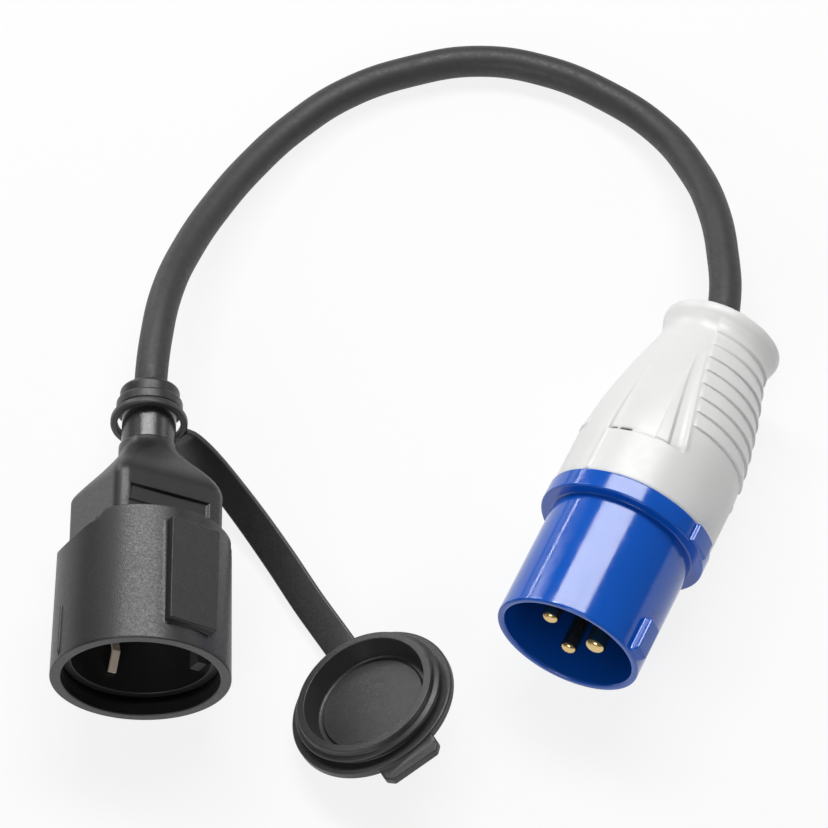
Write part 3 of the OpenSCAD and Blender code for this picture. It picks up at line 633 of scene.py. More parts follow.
class ADAPTER_OT_stage(bpy.types.Operator):
    """Adds the camera, the pale floor and the soft studio light"""
    bl_idname = "adapter.stage"
    bl_label = "Stage"

    AZIMUTH, ELEVATION, DISTANCE = math.radians(25), math.radians(59.5), 1.4
    TARGET = Vector((-0.0149, 0.0441, 0.0))
    LENS, SENSOR, FARTHEST = 202.0, 36.0, 20.0
    FLOOR_HALF, FLOOR_AT, FLOOR_WHITE = 4.0, -0.0003, 0.85
    # Each lamp's name, place and size in metres, and power in watts.
    LAMPS = (("Softbox", (-0.26, 0.62, 1.17), (1.14, 0.34), 12.8),
             ("Upper left", (-0.75, 0.4, 1.17), (0.3, 0.22), 2.2),
             ("Left fill", (-1.02, 0.42, 0.47), (0.24, 0.4), 1.5),
             ("Left strip", (-1.1, 0.6, 0.17), (0.5, 0.05), 1.0),
             ("Back right", (0.64, 0.98, 0.42), (0.5, 0.4), 1.1),
             ("Front fill", (0.05, -1.2, 0.75), (0.6, 0.4), 5.0))

    def execute(self, context):
        scene = context.scene
        level = math.cos(self.ELEVATION)
        back = Vector((math.sin(self.AZIMUTH) * level, -math.cos(self.AZIMUTH) * level,
                       math.sin(self.ELEVATION)))
        lens = bpy.data.cameras.new("Camera")
        lens.sensor_width, lens.lens, lens.clip_end = self.SENSOR, self.LENS, self.FARTHEST
        camera = new_object("Camera", lens)
        camera.location = self.TARGET + back * self.DISTANCE
        camera.rotation_euler = back.to_track_quat("Z", "Y").to_euler()
        scene.camera = camera
        scene.view_settings.view_transform = "Standard"

        mesh = bpy.data.meshes.new("Floor")
        corners = ((-1, -1), (1, -1), (1, 1), (-1, 1))
        mesh.from_pydata([(x * self.FLOOR_HALF, y * self.FLOOR_HALF, self.FLOOR_AT) for x, y in corners],
                         [], [(0, 1, 2, 3)])
        mesh.materials.append(self.pale_board())
        floor = new_object("Floor", mesh)
        self.lamps()
        self.sky(scene)
        return {"FINISHED"}

    def pale_board(self):
        """Matt white board that the camera sees as nearly white, with the object's soft shadow."""
        material = bpy.data.materials.new("Matt white board")
        material.use_nodes = True
        tree = material.node_tree
        shader = tree.nodes["Principled BSDF"]
        shader.inputs["Base Color"].default_value = (0.86, 0.86, 0.86, 1)
        shader.inputs["Roughness"].default_value = 0.9
        light = add(tree, "ShaderNodeEmission", {"Strength": 1.0})
        path = add(tree, "ShaderNodeLightPath").node.outputs
        seen = path["Is Camera Ray"]
        for ray in ("Is Glossy Ray", "Is Transmission Ray"):
            seen = add(tree, "ShaderNodeMath", {0: seen, 1: path[ray]}, operation="MAXIMUM")
        part = add(tree, "ShaderNodeMath", {0: seen, 1: self.FLOOR_WHITE}, operation="MULTIPLY")
        mix = add(tree, "ShaderNodeMixShader", {0: part, 1: shader.outputs[0], 2: light})
        tree.links.new(mix, tree.nodes["Material Output"].inputs["Surface"])
        return material

    def lamps(self):
        """A long softbox overhead, three lights at the left, one behind at the right and a front fill."""
        for name, place, size, watts in self.LAMPS:
            # A lamp over a metre long is aimed straight back, so that it stays level.
            aim = Vector((place[0], *self.TARGET.yz)) if size[0] > 1 else self.TARGET
            lamp = bpy.data.lights.new(name, "AREA")
            lamp.shape, lamp.size, lamp.size_y, lamp.energy = "RECTANGLE", *size, watts
            obj = new_object(name, lamp)
            obj.location = place
            obj.rotation_euler = (Vector(place) - aim).to_track_quat("Z", "Y").to_euler()

    @staticmethod
    def sky(scene):
        """Even grey surroundings that the camera sees as white."""
        world = bpy.data.worlds.new("Studio")
        scene.world = world
        world.use_nodes = True
        tree = world.node_tree
        grey = tree.nodes["Background"]
        grey.inputs["Color"].default_value = (0.13, 0.13, 0.13, 1)
        white = add(tree, "ShaderNodeBackground", {"Color": (1, 1, 1, 1)})
        seen = add(tree, "ShaderNodeLightPath").node.outputs["Is Camera Ray"]
        mix = add(tree, "ShaderNodeMixShader", {0: seen, 1: grey.outputs[0], 2: white})
        tree.links.new(mix, tree.nodes["World Output"].inputs["Surface"])


# The cable's route between the connectors, and its depths inside them.
CABLE_ROUTE = [(58.8, 106.2, 25.3), (51.9, 121.3, 23), (41.9, 137.8, 19), (29.2, 152.5, 13),
               (12.6, 164.7, 8), (-7.3, 171.1, 5.5), (-29, 171.9, 5.2), (-49.6, 166.4, 5.2),
               (-67.4, 153.8, 5.2), (-81.6, 138, 5.4), (-90.6, 119.1, 6.5), (-95.6, 99.2, 9),
               (-97.8, 79.2, 12.5), (-97.6, 59.2, 17), (-94.9, 40.5, 22), (-89.7, 22.9, 25)]
CABLE_IN_PLUG = (76.5, 94.0, 106.0)
CABLE_IN_COUPLER = (96.2, 76.2, 65.0)


class ADAPTER_OT_cable(bpy.types.Operator):
    """Lays the cable on one smooth curve between the two connectors"""
    bl_idname = "adapter.cable"
    bl_label = "Cable"

    def execute(self, context):
        size = settings().cable
        plug, coupler = node_axis("plug_shroud"), coupler_axis()
        route = ([plug.at(d) for d in CABLE_IN_PLUG] + [np.array(p, float) for p in CABLE_ROUTE]
                 + [coupler.at(d) for d in CABLE_IN_COUPLER])
        curve = bpy.data.curves.new("Cable", "CURVE")
        curve.dimensions = "3D"
        curve.bevel_depth, curve.bevel_resolution, curve.use_fill_caps = size.diameter / 2, 10, True
        curve.resolution_u = curve.render_resolution_u = 12
        line = curve.splines.new("BEZIER")
        line.bezier_points.add(len(route) - 1)
        for point, place in zip(line.bezier_points, route):
            point.co = place * MM
            point.handle_left_type = point.handle_right_type = "AUTO"
        curve.materials.append(extruded_rubber())
        cable = new_object("Cable", curve)
        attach(cable, LEAD)
        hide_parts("cable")
        tuple(plug.at(CABLE_IN_PLUG[2]) * MM)
        return {"FINISHED"}


class ADAPTER_OT_housing(bpy.types.Operator):
    """Moulds the white housing with its band, sunk panels, grip steps and bell collar"""
    bl_idname = "adapter.housing"
    bl_label = "Plug housing"

    # Outlines are rows of depth and radius. The front edge's rows are set back from the band's corner.
    FRONT_EDGE = ((0.0, 0.5), (0.12, 0.2), (0.28, 0.06))
    BELL = ((105.4, 16.95), (107.6, 17.1), (109.6, 17.7), (111.4, 18.3), (112.7, 18.5))
    BELL_FROM = 99.9
    INSIDE = ((97.4, 14.2), (92, 17.6), (84, 19.6), (70, 22.0), (60, 22.6))
    GLAND, GLAND_FRONT = 12.5, 97.4
    TAPER_POWER = 1.6
    # Each moulded feature is there twice, half a turn apart. Edges are angles from its middle line, and
    # a lean is an angle for each millimetre of depth.
    COPIES = (0, 180)
    PANEL_EDGES, PANEL_BACK, PANEL_MIDDLE = (-35.0, 21.0), 100.0, -6.0
    EDGE_LEAN, EDGE_RIDGE, BAND_RIDGE = -0.5, 0.5, 0.3
    FIN_CENTRE, FIN_LEAN, FIN_HALF, FIN_END = 5.5, -0.25, 5.0, 0.9
    GROOVE_EDGES, GROOVE_DEPTH = (-33.0, 19.0), 0.35
    SLITS, SLIT_DEPTH = ((-34.0, -30.0), (-27.0, -18.0)), 1.65
    PAD_EDGES, PAD_DEPTHS, PAD_RISE = (-77.0, -60.0), (63.2, 65.2), 0.35
    # The two flanks of grip steps, as angles from up.
    GRIPS = ((19.0, 105.0), (-161.0, -102.0))

    def execute(self, context):
        s = millimetres(settings().plug)
        axis = node_axis("plug_shroud")
        bell = spline([(d, self.base(s, d)) for d in (96, 100, 103)] + list(self.BELL), 6)
        lip = filleted([(*self.BELL[-1], 0), (s.tail, 18.4, 1.1), (s.tail, 15.6, 0.6),
                        (s.tail - 2.5, 14.0, 2.0), (106.0, self.GLAND, 0.6),
                        (self.GLAND_FRONT, self.GLAND, 0)])
        steps = [s.grip_first + s.grip_pitch * k for k in range(s.grip_count)]
        depths = rows_between(s.flange_back + 0.5, self.BELL_FROM, 0.75,
                              [*steps, s.panel_front, *self.PAD_DEPTHS], 0.45, 0.1)
        outer = ([(s.flange_back + d, s.band - r) for d, r in self.FRONT_EDGE]
                 + [(d, self.base(s, d)) for d in depths]
                 + [(d, r) for d, r in bell if d > self.BELL_FROM + 0.05])
        inner = lip[1:] + [*self.INSIDE, (s.flange_back, self.INSIDE[-1][1])]
        sides = [copy + edge for copy in self.COPIES for edge in (self.PANEL_EDGES[0], *self.PAD_EDGES)]
        middles = [copy + self.PANEL_MIDDLE for copy in self.COPIES]
        columns = np.union1d(columns_with_edges(sides, 1.5, 1.05, 0.35),
                             columns_with_edges(middles, 1.5, 30.0, 0.75))
        count = len(outer)

        def surface(theta, depth, r, k):
            moulded = len(self.FRONT_EDGE) <= k < count
            return r + self.moulding(s, theta, depth) if moulded else np.full(len(theta), r)

        verts, faces = turned(axis, outer + inner, columns, surface)
        skin = solid("Plug_housing", verts, faces)
        outside = np.arange(len(verts)) < count * len(columns)
        # Painted shade: the walls of a slit are coloured nearly black almost to their edges, as the shadow
        # inside it.
        dark = np.zeros(len(verts), np.float32)
        dark[outside] = np.minimum(1.0, 8.0 * np.concatenate([self.slit(s, columns, d) for d, _ in outer]))
        for name, kind, values in (("outside", "BOOLEAN", outside), ("slit", "FLOAT", dark)):
            skin.data.attributes.new(name, kind, "POINT").data.foreach_set("value", values)
        material = moulded_abs_white()
        tree = grip_tree()
        for left, right in self.GRIPS:
            run_tree(skin, tree, mouth=tuple(axis.origin * MM), first=s.grip_first * MM,
                     pitch=s.grip_pitch * MM, count=s.grip_count, height=s.grip_height * MM,
                     centre=math.radians((left + right) / 2), half_sweep=math.radians((right - left) / 2),
                     lean=math.radians(self.EDGE_LEAN) / 2 / MM, material=material)
        placed(skin, LEAD, material, "plug_housing")
        return {"FINISHED"}

    def base(self, s, depth):
        """Radius of the plain turned skin."""
        t = max(0.0, (depth - s.band_end) / (s.waist_at - s.band_end))
        return s.band - (s.band - s.waist) * t ** self.TAPER_POWER

    def moulding(self, s, theta, depth):
        """Height of the moulded features over the plain turned skin."""
        height = -self.SLIT_DEPTH * self.slit(s, theta, depth)
        behind = depth - s.panel_front
        along = behind / (self.PANEL_BACK - s.panel_front)
        left, right = self.PANEL_EDGES[0], self.PANEL_EDGES[1] + self.EDGE_LEAN * max(0.0, behind)
        fin_at = self.FIN_CENTRE + self.FIN_LEAN * max(0.0, behind)
        fin_half = self.FIN_HALF * (1 - along / self.FIN_END)
        for copy in self.COPIES:
            t = turn_from(theta, copy)
            if -0.05 < along < 1:
                fin = within(turn_from(t, fin_at), -fin_half, fin_half, 1.5) if along < self.FIN_END else 0.0
                fade = 1 - max(along, 0.0)
                sunk = s.panel_depth * fade * ease(behind / 0.2 + 0.5)
                height -= sunk * within(t, left, right, 2.0) * (1 - fin)
                height += self.EDGE_RIDGE * within(t, right - 2, right + 3, 4.0) * ease(along / 0.05) * fade
            if behind < 0:
                height += self.BAND_RIDGE * within(t, left - 1.2, left + 1.2, 1.0)
            height += self.PAD_RISE * within(t, *self.PAD_EDGES, 1.0) * within(depth, *self.PAD_DEPTHS, 0.5)
            height -= self.GROOVE_DEPTH * within(t, *self.GROOVE_EDGES, 1.0) * within(behind, -0.05, 0.4, 0.2)
        return height

    def slit(self, s, theta, depth):
        """1 in the two narrow slits at the front corner of each panel, 0 elsewhere."""
        ahead = within(depth - s.panel_front, -0.1, 0.7, 0.2)
        return ahead * sum(within(turn_from(theta, copy), *span, 1.0)
                           for copy in self.COPIES for span in self.SLITS)


class ADAPTER_OT_shroud(bpy.types.Operator):
    """Moulds the blue shroud with its rounded lip, keying rib, flange, locking lug and spigot"""
    bl_idname = "adapter.shroud"
    bl_label = "Plug shroud"

    # The keying rib's half width, its ends, its height at the nose and how much it grows behind it.
    RIB_HALF, RIB_ENDS, RIB_NOSE, RIB_GROWS = 2.75, (0.9, 12.0), 1.7, 0.8
    SPIGOT, SPIGOT_BORE, SPIGOT_END = 22.4, 20.5, 54.5
    LIP_END = 1.2

    def execute(self, context):
        s = millimetres(settings().plug)
        inner, shoulder = s.shroud - s.wall, s.flange_front - 0.9
        outside = rows_between(self.LIP_END, shoulder, 1.2, [1.8, self.RIB_ENDS[1]], 0.7, 0.12)
        lip = filleted([(3.0, inner, 0), (0.0, inner + 0.05, 0.9), (0.0, s.shroud, 0.9),
                        (self.LIP_END, s.shroud, 0)])
        rear = filleted([(shoulder, s.shroud, 0), (s.flange_front, s.shroud, 0.5),
                         (s.flange_front, s.flange, 0.55), (s.flange_back, s.flange, 0.35),
                         (s.flange_back, self.SPIGOT, 0.2), (self.SPIGOT_END, self.SPIGOT, 0.4),
                         (self.SPIGOT_END, self.SPIGOT_BORE, 0.3), (s.face, self.SPIGOT_BORE, 0),
                         (s.face, inner, 0)])
        section = lip + [(d, s.shroud) for d in outside[1:]] + rear[1:]
        rib = math.degrees(self.RIB_HALF / s.shroud)
        edges = [s.key - rib, s.key + rib, s.lug - s.lug_half, s.lug + s.lug_half]

        def surface(theta, depth, r, k):
            if r > s.flange - 0.6:
                return r + s.lug_rise * within(turn_from(theta, s.lug), -s.lug_half, s.lug_half, 0.9)
            if r < s.shroud - 0.01 or depth >= shoulder - 0.05:
                return np.full(len(theta), r)
            rise = self.RIB_NOSE + self.RIB_GROWS * ease((depth - 1.0) / 1.3)
            side = within(turn_from(theta, s.key), -rib, rib, 1.0)
            return r + rise * side * within(depth, *self.RIB_ENDS, 0.7)

        columns = columns_with_edges(edges, 2.0, 1.6, 0.32)
        skin = solid("Plug_shroud", *turned(node_axis("plug_shroud"), section, columns, surface))
        placed(skin, LEAD, moulded_polyamide_blue(), "plug_shroud")
        return {"FINISHED"}


class ADAPTER_OT_pins(bpy.types.Operator):
    """Turns the three domed brass pins"""
    bl_idname = "adapter.pins"
    bl_label = "Pins"

    # Each pin's node, radius and depth of its tip.
    PINS = (("earth_pin", 3.0, 0.0), ("line_pin", 2.5, 2.5), ("neutral_pin", 2.5, 2.5))
    # The dome's height and width as shares of the pin's radius, and the edge between dome and shank.
    DOME, DOME_WIDTH, EDGE = 0.62, 0.995, 0.25
    DOME_ANGLES = np.radians(np.linspace(0, 82, 12))
    STEP = 0.5
    TERMINAL, TERMINAL_FRONT, TERMINAL_END = 3.9, 45, 58

    def execute(self, context):
        s = millimetres(settings().plug)
        material = turned_metal("Turned brass", settings().finish.brass, 0.22)
        mouth = node_axis("plug_shroud").origin[1]
        for node, r, tip in self.PINS:
            axis = node_axis(node)
            axis.origin[1] = mouth
            dome = [(tip + self.DOME * r * (1 - math.cos(a)), r * math.sin(a) * self.DOME_WIDTH)
                    for a in self.DOME_ANGLES]
            shank = filleted([(s.face - 1, r, 0), (s.face, r, 0), (s.face, r + self.STEP, 0),
                              (self.TERMINAL_FRONT, r + self.STEP, 0),
                              (self.TERMINAL_FRONT, self.TERMINAL, 0.2),
                              (self.TERMINAL_END, self.TERMINAL, 0.4), (self.TERMINAL_END, 0, 0)])
            section = dome + [(tip + self.DOME * r + self.EDGE, r)] + shank
            pin = solid(node.title(), *turned(axis, section, np.arange(0, 360, 5.0), closed=False))
            placed(pin, LEAD, material, node)
        return {"FINISHED"}


class ADAPTER_OT_coupler(bpy.types.Operator):
    """Moulds the rubber coupler: sleeve, pad, square body, neck and collar"""
    bl_idname = "adapter.coupler"
    bl_label = "Coupler"

    # The pad's front, back, half width and height above the axis, and its turn from the body's top.
    PAD, PAD_TURN = (6.0, 38.5, 7.7, 27.6), 6.0
    # The sunk field's front, back, left and right edges and its depth, and the bead round it.
    FIELD, BEAD = (47.4, 52.0, -13.5, 11.5, 0.7), 0.25
    # The ridges' height, half width, and front and back. The facets' front, lean and reach.
    RIDGE, RIDGE_ENDS = (0.45, 0.35), (1.5, 17.0)
    CHAMFER = (37.0, 40.0, 25.4)
    SHOULDER = 18.0
    # Where the shoulder is steepest, and how much later it starts and earlier it ends there.
    STEEP_TURN, STEEP_START, STEEP_END = 225.0, 4.0, 5.0
    # How much wider than the neck the shoulder ends, and how much later its corners start to open.
    SHOULDER_FOOT, CORNER_LATE = 0.7, 5.0
    # The radius and depth of the cable's way, where it starts, and of the hollow, where it ends.
    CABLE_WAY, HOLLOW = (4.95, 66), (14.9, 52)
    # Depth past the neck's start of the middle of the painted sheen and the wear polish.
    SHEEN_AND_RUBBED_AT = 4.5

    def execute(self, context):
        s = millimetres(settings().coupler)
        lip_end = 0.8
        sleeve_rows = rows_between(lip_end, s.sleeve_end - 0.7, 1.4,
                                   [*self.PAD[:2], self.RIDGE_ENDS[1], self.CHAMFER[0]], 0.9, 0.15)
        lip = filleted([(3.0, s.step, 0), (0.0, s.step, 0.45), (0.0, s.mouth, 0.6), (lip_end, s.mouth, 0)])
        slope = (s.sleeve - s.mouth) / s.sleeve_end
        sleeve = [(d, s.mouth + slope * d) for d in sleeve_rows[1:]]
        rear = filleted([(s.sleeve_end - 0.7, s.sleeve, 0), (s.sleeve_end, s.sleeve, 0.6),
                         (s.sleeve_end, self.SHOULDER, 0.4), (s.sleeve_end + 0.6, self.SHOULDER, 0)])[1:-1]
        body_rows = rows_between(s.sleeve_end + 0.45, s.neck_at, 0.7, self.FIELD[:2], 0.75, 0.15)
        way, way_front = self.CABLE_WAY
        hollow, hollow_end = self.HOLLOW
        neck = filleted([(s.neck_at + 0.2, s.neck, 0), (s.collar_at, s.neck, 0.4),
                         (s.collar_at, s.collar, 0.7), (s.collar_at + 3.5, s.collar - 0.1, 1.3),
                         (s.collar_at + 3.9, s.collar - 1.2, 0.25), (s.tail - 1.0, s.collar - 1.0, 1.4),
                         (s.tail, 7.4, 0.9), (s.tail, way, 0.3), (way_front, way, 0), (hollow_end, hollow, 0),
                         (s.recess_end, hollow, 0), (s.recess_end, s.recess, 0),
                         (s.step_end, s.recess, 0.2), (s.step_end, s.step, 0.2)])
        # The body's radius comes from its own function, so 1 only holds its place.
        section = lip + sleeve + rear + [(d, 1.0) for d in body_rows] + neck
        first_rear = len(lip) + len(sleeve)
        first_body = first_rear + len(rear)
        last_body = first_body + len(body_rows)
        pad_edge = math.degrees(math.atan2(self.PAD[2], self.PAD[3]))
        field_ends = [math.degrees(math.atan2(end, s.box)) for end in self.FIELD[2:4]]
        edges = (self.PAD_TURN - pad_edge, self.PAD_TURN + pad_edge, 90, 270, *field_ends)
        columns = columns_with_edges([s.roll + e for e in edges], 1.5, 2.0, 0.25)

        def surface(theta, depth, r, k):
            t = turn_from(theta, s.roll)
            if first_body <= k < last_body:
                return self.body(s, t, depth)
            if k < first_body and r > s.step + 0.3:
                return self.sleeve(t, depth, r, k >= first_rear)
            return np.full(len(theta), r)

        axis = coupler_axis()
        skin = solid("Coupler_body", *turned(axis, section, columns, surface))
        black = moulded_rubber("Moulded rubber black", settings().finish.rubber, 0.34, 0.48,
                               axis.at(s.neck_at + self.SHEEN_AND_RUBBED_AT))
        placed(skin, LEAD, black, "coupler_body")
        return {"FINISHED"}

    def sleeve(self, t, depth, r, rear):
        """Sleeve with a flat-topped pad, fine side ridges and slanted facets at its rear."""
        out = np.full(len(t), float(r))
        start, lean, reach = self.CHAMFER
        rise, ridge_half = self.RIDGE
        for side in (90, 270):
            a = np.radians(turn_from(t, side))
            if depth > start:
                plane = reach - (depth - start) * math.tan(math.radians(lean))
                flat = np.where(np.cos(a) > 0.5, plane / np.maximum(np.cos(a), 0.5), r)
                out = np.minimum(out, np.maximum(flat, self.SHOULDER))
            if not rear:
                ahead = np.cos(a) > 0
                across = within(r * np.sin(a), -ridge_half, ridge_half, 0.4)
                out = out + rise * across * ahead * within(depth, *self.RIDGE_ENDS, 0.8)
        if rear:
            return out
        front, back, half, top = self.PAD
        a = np.radians(turn_from(t, self.PAD_TURN))
        ahead = np.cos(a) > 0.5
        across = np.abs(r * np.tan(np.where(ahead, a, 0.0)))
        raised = ease((half + 0.6 - across) / 1.1) * within(depth, front - 0.2, back + 0.2, 0.9)
        flat = top / np.maximum(np.cos(a), 0.5)
        return np.where(ahead, out + (flat - out) * raised, out)

    def body(self, s, t, depth):
        """Rounded square that slopes to the round neck, steeper underneath, with a framed sunk field."""
        steep = np.maximum(0.0, np.cos(np.radians(t - self.STEEP_TURN)))**2
        start = s.box_end + self.STEEP_START * steep
        end = s.neck_at - self.STEEP_END * steep
        foot = s.neck + self.SHOULDER_FOOT
        half = s.box + (foot - s.box) * ease((depth - start) / (end - start))
        late = ease((depth - start - self.CORNER_LATE) / (end - start - self.CORNER_LATE))
        corner = np.minimum(half, s.corner + (foot - s.corner) * late)
        a = np.radians(45 - np.abs(t % 90 - 45))
        core = half - corner
        straight = half / np.cos(a)
        bend = (core * (np.cos(a) + np.sin(a))
                + np.sqrt(np.maximum(corner**2 - core**2 * (np.cos(a) - np.sin(a))**2, 0)))
        out = np.where(half * np.tan(a) <= core, straight, bend)
        front, back, left, right, deep = self.FIELD
        across = out * np.sin(np.radians(t))
        ahead = np.abs(t) < 60

        def field(grow, soft):
            return ahead * (within(across, left - grow, right + grow, soft)
                            * within(depth, front - grow, back + grow, soft))

        return out - deep * field(0.0, 0.4) + self.BEAD * (field(0.65, 0.3) - field(0.1, 0.3))


# The strap's route between the ring and the cap.
STRAP_ROUTE = [(-63, -3.2, 15.3), (-58.2, -4.8, 13), (-51.2, -7.8, 10), (-40.3, -13.3, 6.8),
               (-28, -20.6, 4.8), (-14.6, -29.5, 4.2)]


class ADAPTER_OT_cap(bpy.types.Operator):
    """Moulds the sealing cap with its pull tab, strap and the ring on the neck"""
    bl_idname = "adapter.cap"
    bl_label = "Sealing cap"

    # The strap's turn on the cap, edge radius and height there, and its turn on the ring.
    STRAP_ANGLE, STRAP_EDGE, STRAP_DROP = 140.0, 0.7, -1.2
    RING_ANGLE, RING_THICKNESS, RING_TILT = 129.0, 2.4, math.radians(9)
    # The strap's root has this share of its width, and widens between these rows of the path.
    ROOT_SHARE, WIDENS = 0.6, (6, 20)
    # Heights over the flange's top: underside, foot of the flange's edge, dish floor, panel and bead.
    UNDERSIDE, EDGE, FLOOR, PANEL = -4.5, -2.5, -2.0, -1.3
    BEAD_ROWS = (1.3, 1.9, 2.8, 3.5)
    # The tab's root, bend and end: distance past the flange's edge, half width and fillet.
    TAB_SIDE = ((-5, 9.2, 0), (2.5, 9.2, 1.4), (4.6, 7.4, 1.0))
    # The tab's turn, bottom and top, and the rows of its rounded edge: set back and scale.
    TAB_ANGLE, TAB_BOTTOM, TAB_TOP = math.radians(324), -3.1, -0.7
    TAB_EDGE = ((0.0, 0.9), (0.0, 0.955), (0.1, 0.985), (0.4, 1.0))

    def execute(self, context):
        s = millimetres(settings().cap)
        material = moulded_rubber("Moulded rubber cap", settings().finish.cap_rubber, 0.36, 0.5)
        cap, neck = cap_axis(s.tilt), coupler_axis()
        bead = [(height, radius, 0.4)
                for height, radius in zip(self.BEAD_ROWS, (s.spigot, s.bead, s.bead, s.spigot))]
        dish = filleted([(self.UNDERSIDE, 0, 0), (self.UNDERSIDE, s.flange - 3, 1.2),
                         (self.EDGE, s.flange, 0.5), (0, s.flange, 0.6), (0, s.spigot, 0.4), *bead,
                         (s.rim, s.spigot - 0.2, 0.35), (s.rim, s.bore + 0.2, 0.25),
                         (self.FLOOR, s.bore - 1.2, 0.8), (self.FLOOR, s.bore - 2.6, 0.2),
                         (self.PANEL, s.bore - 2.9, 0.35), (self.PANEL, 0, 0)])
        moulding = solid("Sealing_cap", *turned(cap, dish, np.arange(0, 360, 1.5), closed=False))
        half = self.RING_THICKNESS / 2
        ring = filleted([(-half, s.ring_bore, 0.5), (-half, s.ring, 0.7), (half, s.ring, 0.7),
                         (half, s.ring_bore, 0.5)])
        leaning = Axis(neck.at(RING_DEPTH),
                       neck.back * math.cos(self.RING_TILT) - neck.up * math.sin(self.RING_TILT))
        loop = solid("Ring", *turned(leaning, ring, np.arange(0, 360, 3.0)))
        united(moulding, self.strap(s, cap, neck, material), loop, self.tab(s, cap))
        moulding.data.shade_smooth()
        placed(moulding, CAP, material, "sealing_cap")
        return {"FINISHED"}

    def strap(self, s, cap, neck, material):
        """The strap's path from the ring to the cap, swept by the node tree."""
        lean = math.cos(math.radians(self.RING_ANGLE)) * math.sin(self.RING_TILT)
        root = [neck.at(RING_DEPTH + r * lean, r, self.RING_ANGLE) for r in (s.ring_bore + 1, s.ring + 2)]
        ends = [cap.at(self.STRAP_DROP, r, self.STRAP_ANGLE) for r in (s.flange - 0.5, s.flange - 4)]
        path = spline(root + [np.array(p, float) for p in STRAP_ROUTE] + ends, 8)
        # The strap's width turns evenly from the ring's plane to the cap's.
        count = np.arange(len(path))
        first = neck.at(0.0, 1.0, self.RING_ANGLE - 90) - neck.origin
        last = cap.at(0.0, 1.0, self.STRAP_ANGLE - 90) - cap.origin
        across = first + (last - first) * count[:, None] / count[-1]
        normals = np.cross(np.gradient(path, axis=0), across)
        normals /= np.linalg.norm(normals, axis=1)[:, None]
        start, end = self.WIDENS
        swell = self.ROOT_SHARE + (1 - self.ROOT_SHARE) * ease((count - start) / (end - start))
        mesh = bpy.data.meshes.new("Strap")
        mesh.from_pydata((path * MM).tolist(), [(i, i + 1) for i in range(len(path) - 1)], [])
        for name, kind, key, values in (("flat", "FLOAT_VECTOR", "vector", normals),
                                        ("swell", "FLOAT", "value", swell)):
            mesh.attributes.new(name, kind, "POINT").data.foreach_set(key, values.astype(np.float32).ravel())
        return run_tree(new_object("Strap", mesh), strap_tree(), width=s.strap_width * MM,
                        thickness=s.strap_thickness * MM, edge=self.STRAP_EDGE * MM, material=material)

    def tab(self, s, cap):
        """The pull tab, a plate with rounded corners that widens into the flange."""
        side = [(s.flange + reach, half, fillet) for reach, half, fillet in self.TAB_SIDE]
        outline = np.array(filleted([(x, -y, fillet) for x, y, fillet in side] + side[::-1]))
        middle = outline.mean(axis=0)
        rows = ([(self.TAB_BOTTOM + back, scale) for back, scale in self.TAB_EDGE]
                + [(self.TAB_TOP - back, scale) for back, scale in self.TAB_EDGE[::-1]])
        verts = []
        for height, scale in rows:
            for x, y in middle + (outline - middle) * scale:
                turn = math.degrees(self.TAB_ANGLE + math.atan2(y, x))
                verts.append(cap.at(height, math.hypot(x, y), turn))
        rings = np.arange(len(verts)).reshape(len(rows), -1).tolist()
        return solid("Tab", verts, [*walls(rings, False), rings[0][::-1], rings[-1]])


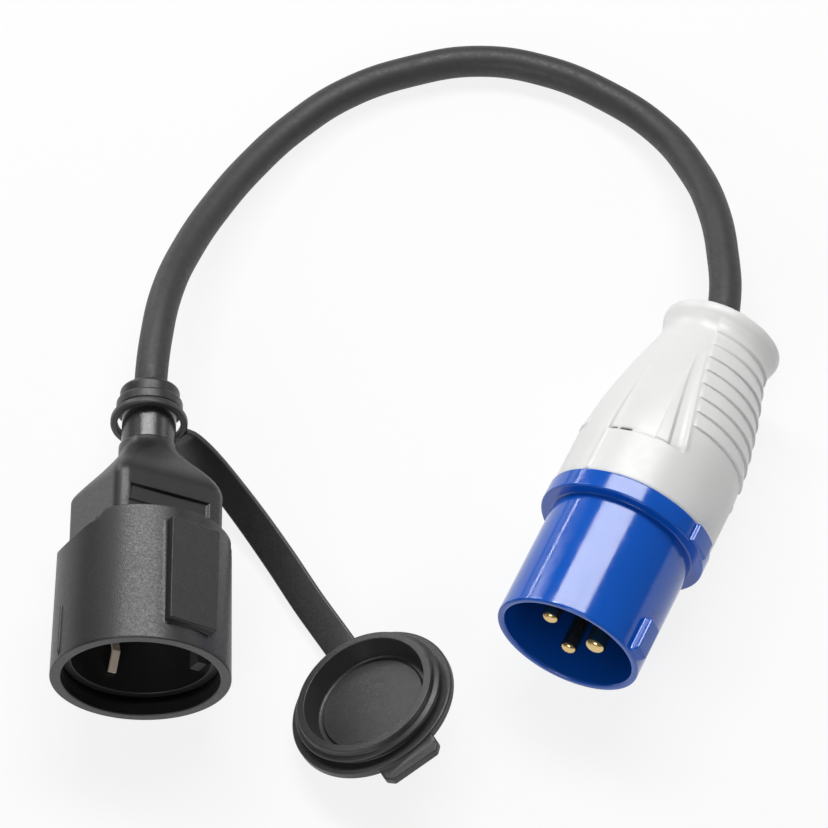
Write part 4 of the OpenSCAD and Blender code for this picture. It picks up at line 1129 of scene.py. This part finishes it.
class ADAPTER_OT_inner_parts(bpy.types.Operator):
    """Gives the carried-over inner parts their own finishes"""
    bl_idname = "adapter.inner_parts"
    bl_label = "Inner parts"

    def execute(self, context):
        c = settings().finish
        dark = moulded_thermoset("Moulded thermoset black", c.insert)
        seal = moulded_rubber("Moulded rubber seal", c.rubber, 0.5, 0.65)
        brass = turned_metal("Stamped brass", c.brass, 0.3)
        screws = turned_metal("Zinc-plated steel", c.zinc, 0.3)
        # The carrier's dark navy is painted shade at the bottom of the shroud.
        finishes = {"pin_carrier": moulded_thermoset("Moulded polyamide dark blue", c.carrier_painted_shade),
                    "clamp_saddle": dark, "contact_insert": dark,
                    "housing_seal": seal, "cable_grommet": seal,
                    "line_contact": brass, "neutral_contact": brass,
                    "terminal_screws": screws, "clamp_screws": screws,
                    "earth_bracket": turned_metal("Tinned copper alloy", c.copper, 0.4, 0.25)}
        for core, tint in (("earth", c.earth), ("line", c.line), ("neutral", c.neutral)):
            sleeve = moulded_thermoset(f"Core insulation {core}", tint)
            finishes |= {f"plug_core_{core}": sleeve, f"coupler_core_{core}": sleeve}
        for node, material in finishes.items():
            obj = frame["nodes"][node]
            if not obj.material_slots:
                obj.data.materials.append(material)
            for slot in obj.material_slots:
                slot.link = "OBJECT"
                slot.material = material
        return {"FINISHED"}


OPERATORS = (ADAPTER_OT_stage, ADAPTER_OT_cable, ADAPTER_OT_housing, ADAPTER_OT_shroud, ADAPTER_OT_pins,
             ADAPTER_OT_coupler, ADAPTER_OT_cap, ADAPTER_OT_inner_parts)


class ADAPTER_PT_panel(bpy.types.Panel):
    """Lists the pieces of the adapter lead and their sizes"""
    bl_idname = "ADAPTER_PT_panel"
    bl_label = "Adapter lead"
    bl_space_type = "VIEW_3D"
    bl_region_type = "UI"
    bl_category = "Adapter lead"

    def draw(self, context):
        for operator in OPERATORS:
            self.layout.operator(operator.bl_idname)
        for group in ("plug", "coupler", "cap", "cable", "finish"):
            box = self.layout.box()
            box.label(text=group.title())
            values = getattr(settings(), group)
            for key in values.__annotations__:
                box.prop(values, key)


CLASSES = (AdapterPlug, AdapterCoupler, AdapterCap, AdapterCable, AdapterFinish, AdapterSettings, *OPERATORS,
           ADAPTER_PT_panel)


def register():
    for cls in CLASSES:
        bpy.utils.register_class(cls)
    bpy.types.Scene.adapter_lead = bpy.props.PointerProperty(type=AdapterSettings)


def unregister():
    del bpy.types.Scene.adapter_lead
    for cls in reversed(CLASSES):
        bpy.utils.unregister_class(cls)


def main():
    register()
    bpy.ops.adapter.stage()
    bpy.ops.adapter.cable()
    bpy.ops.adapter.housing()
    bpy.ops.adapter.shroud()
    bpy.ops.adapter.pins()
    bpy.ops.adapter.coupler()
    bpy.ops.adapter.cap()
    bpy.ops.adapter.inner_parts()


if __name__ == "__main__":
    main()
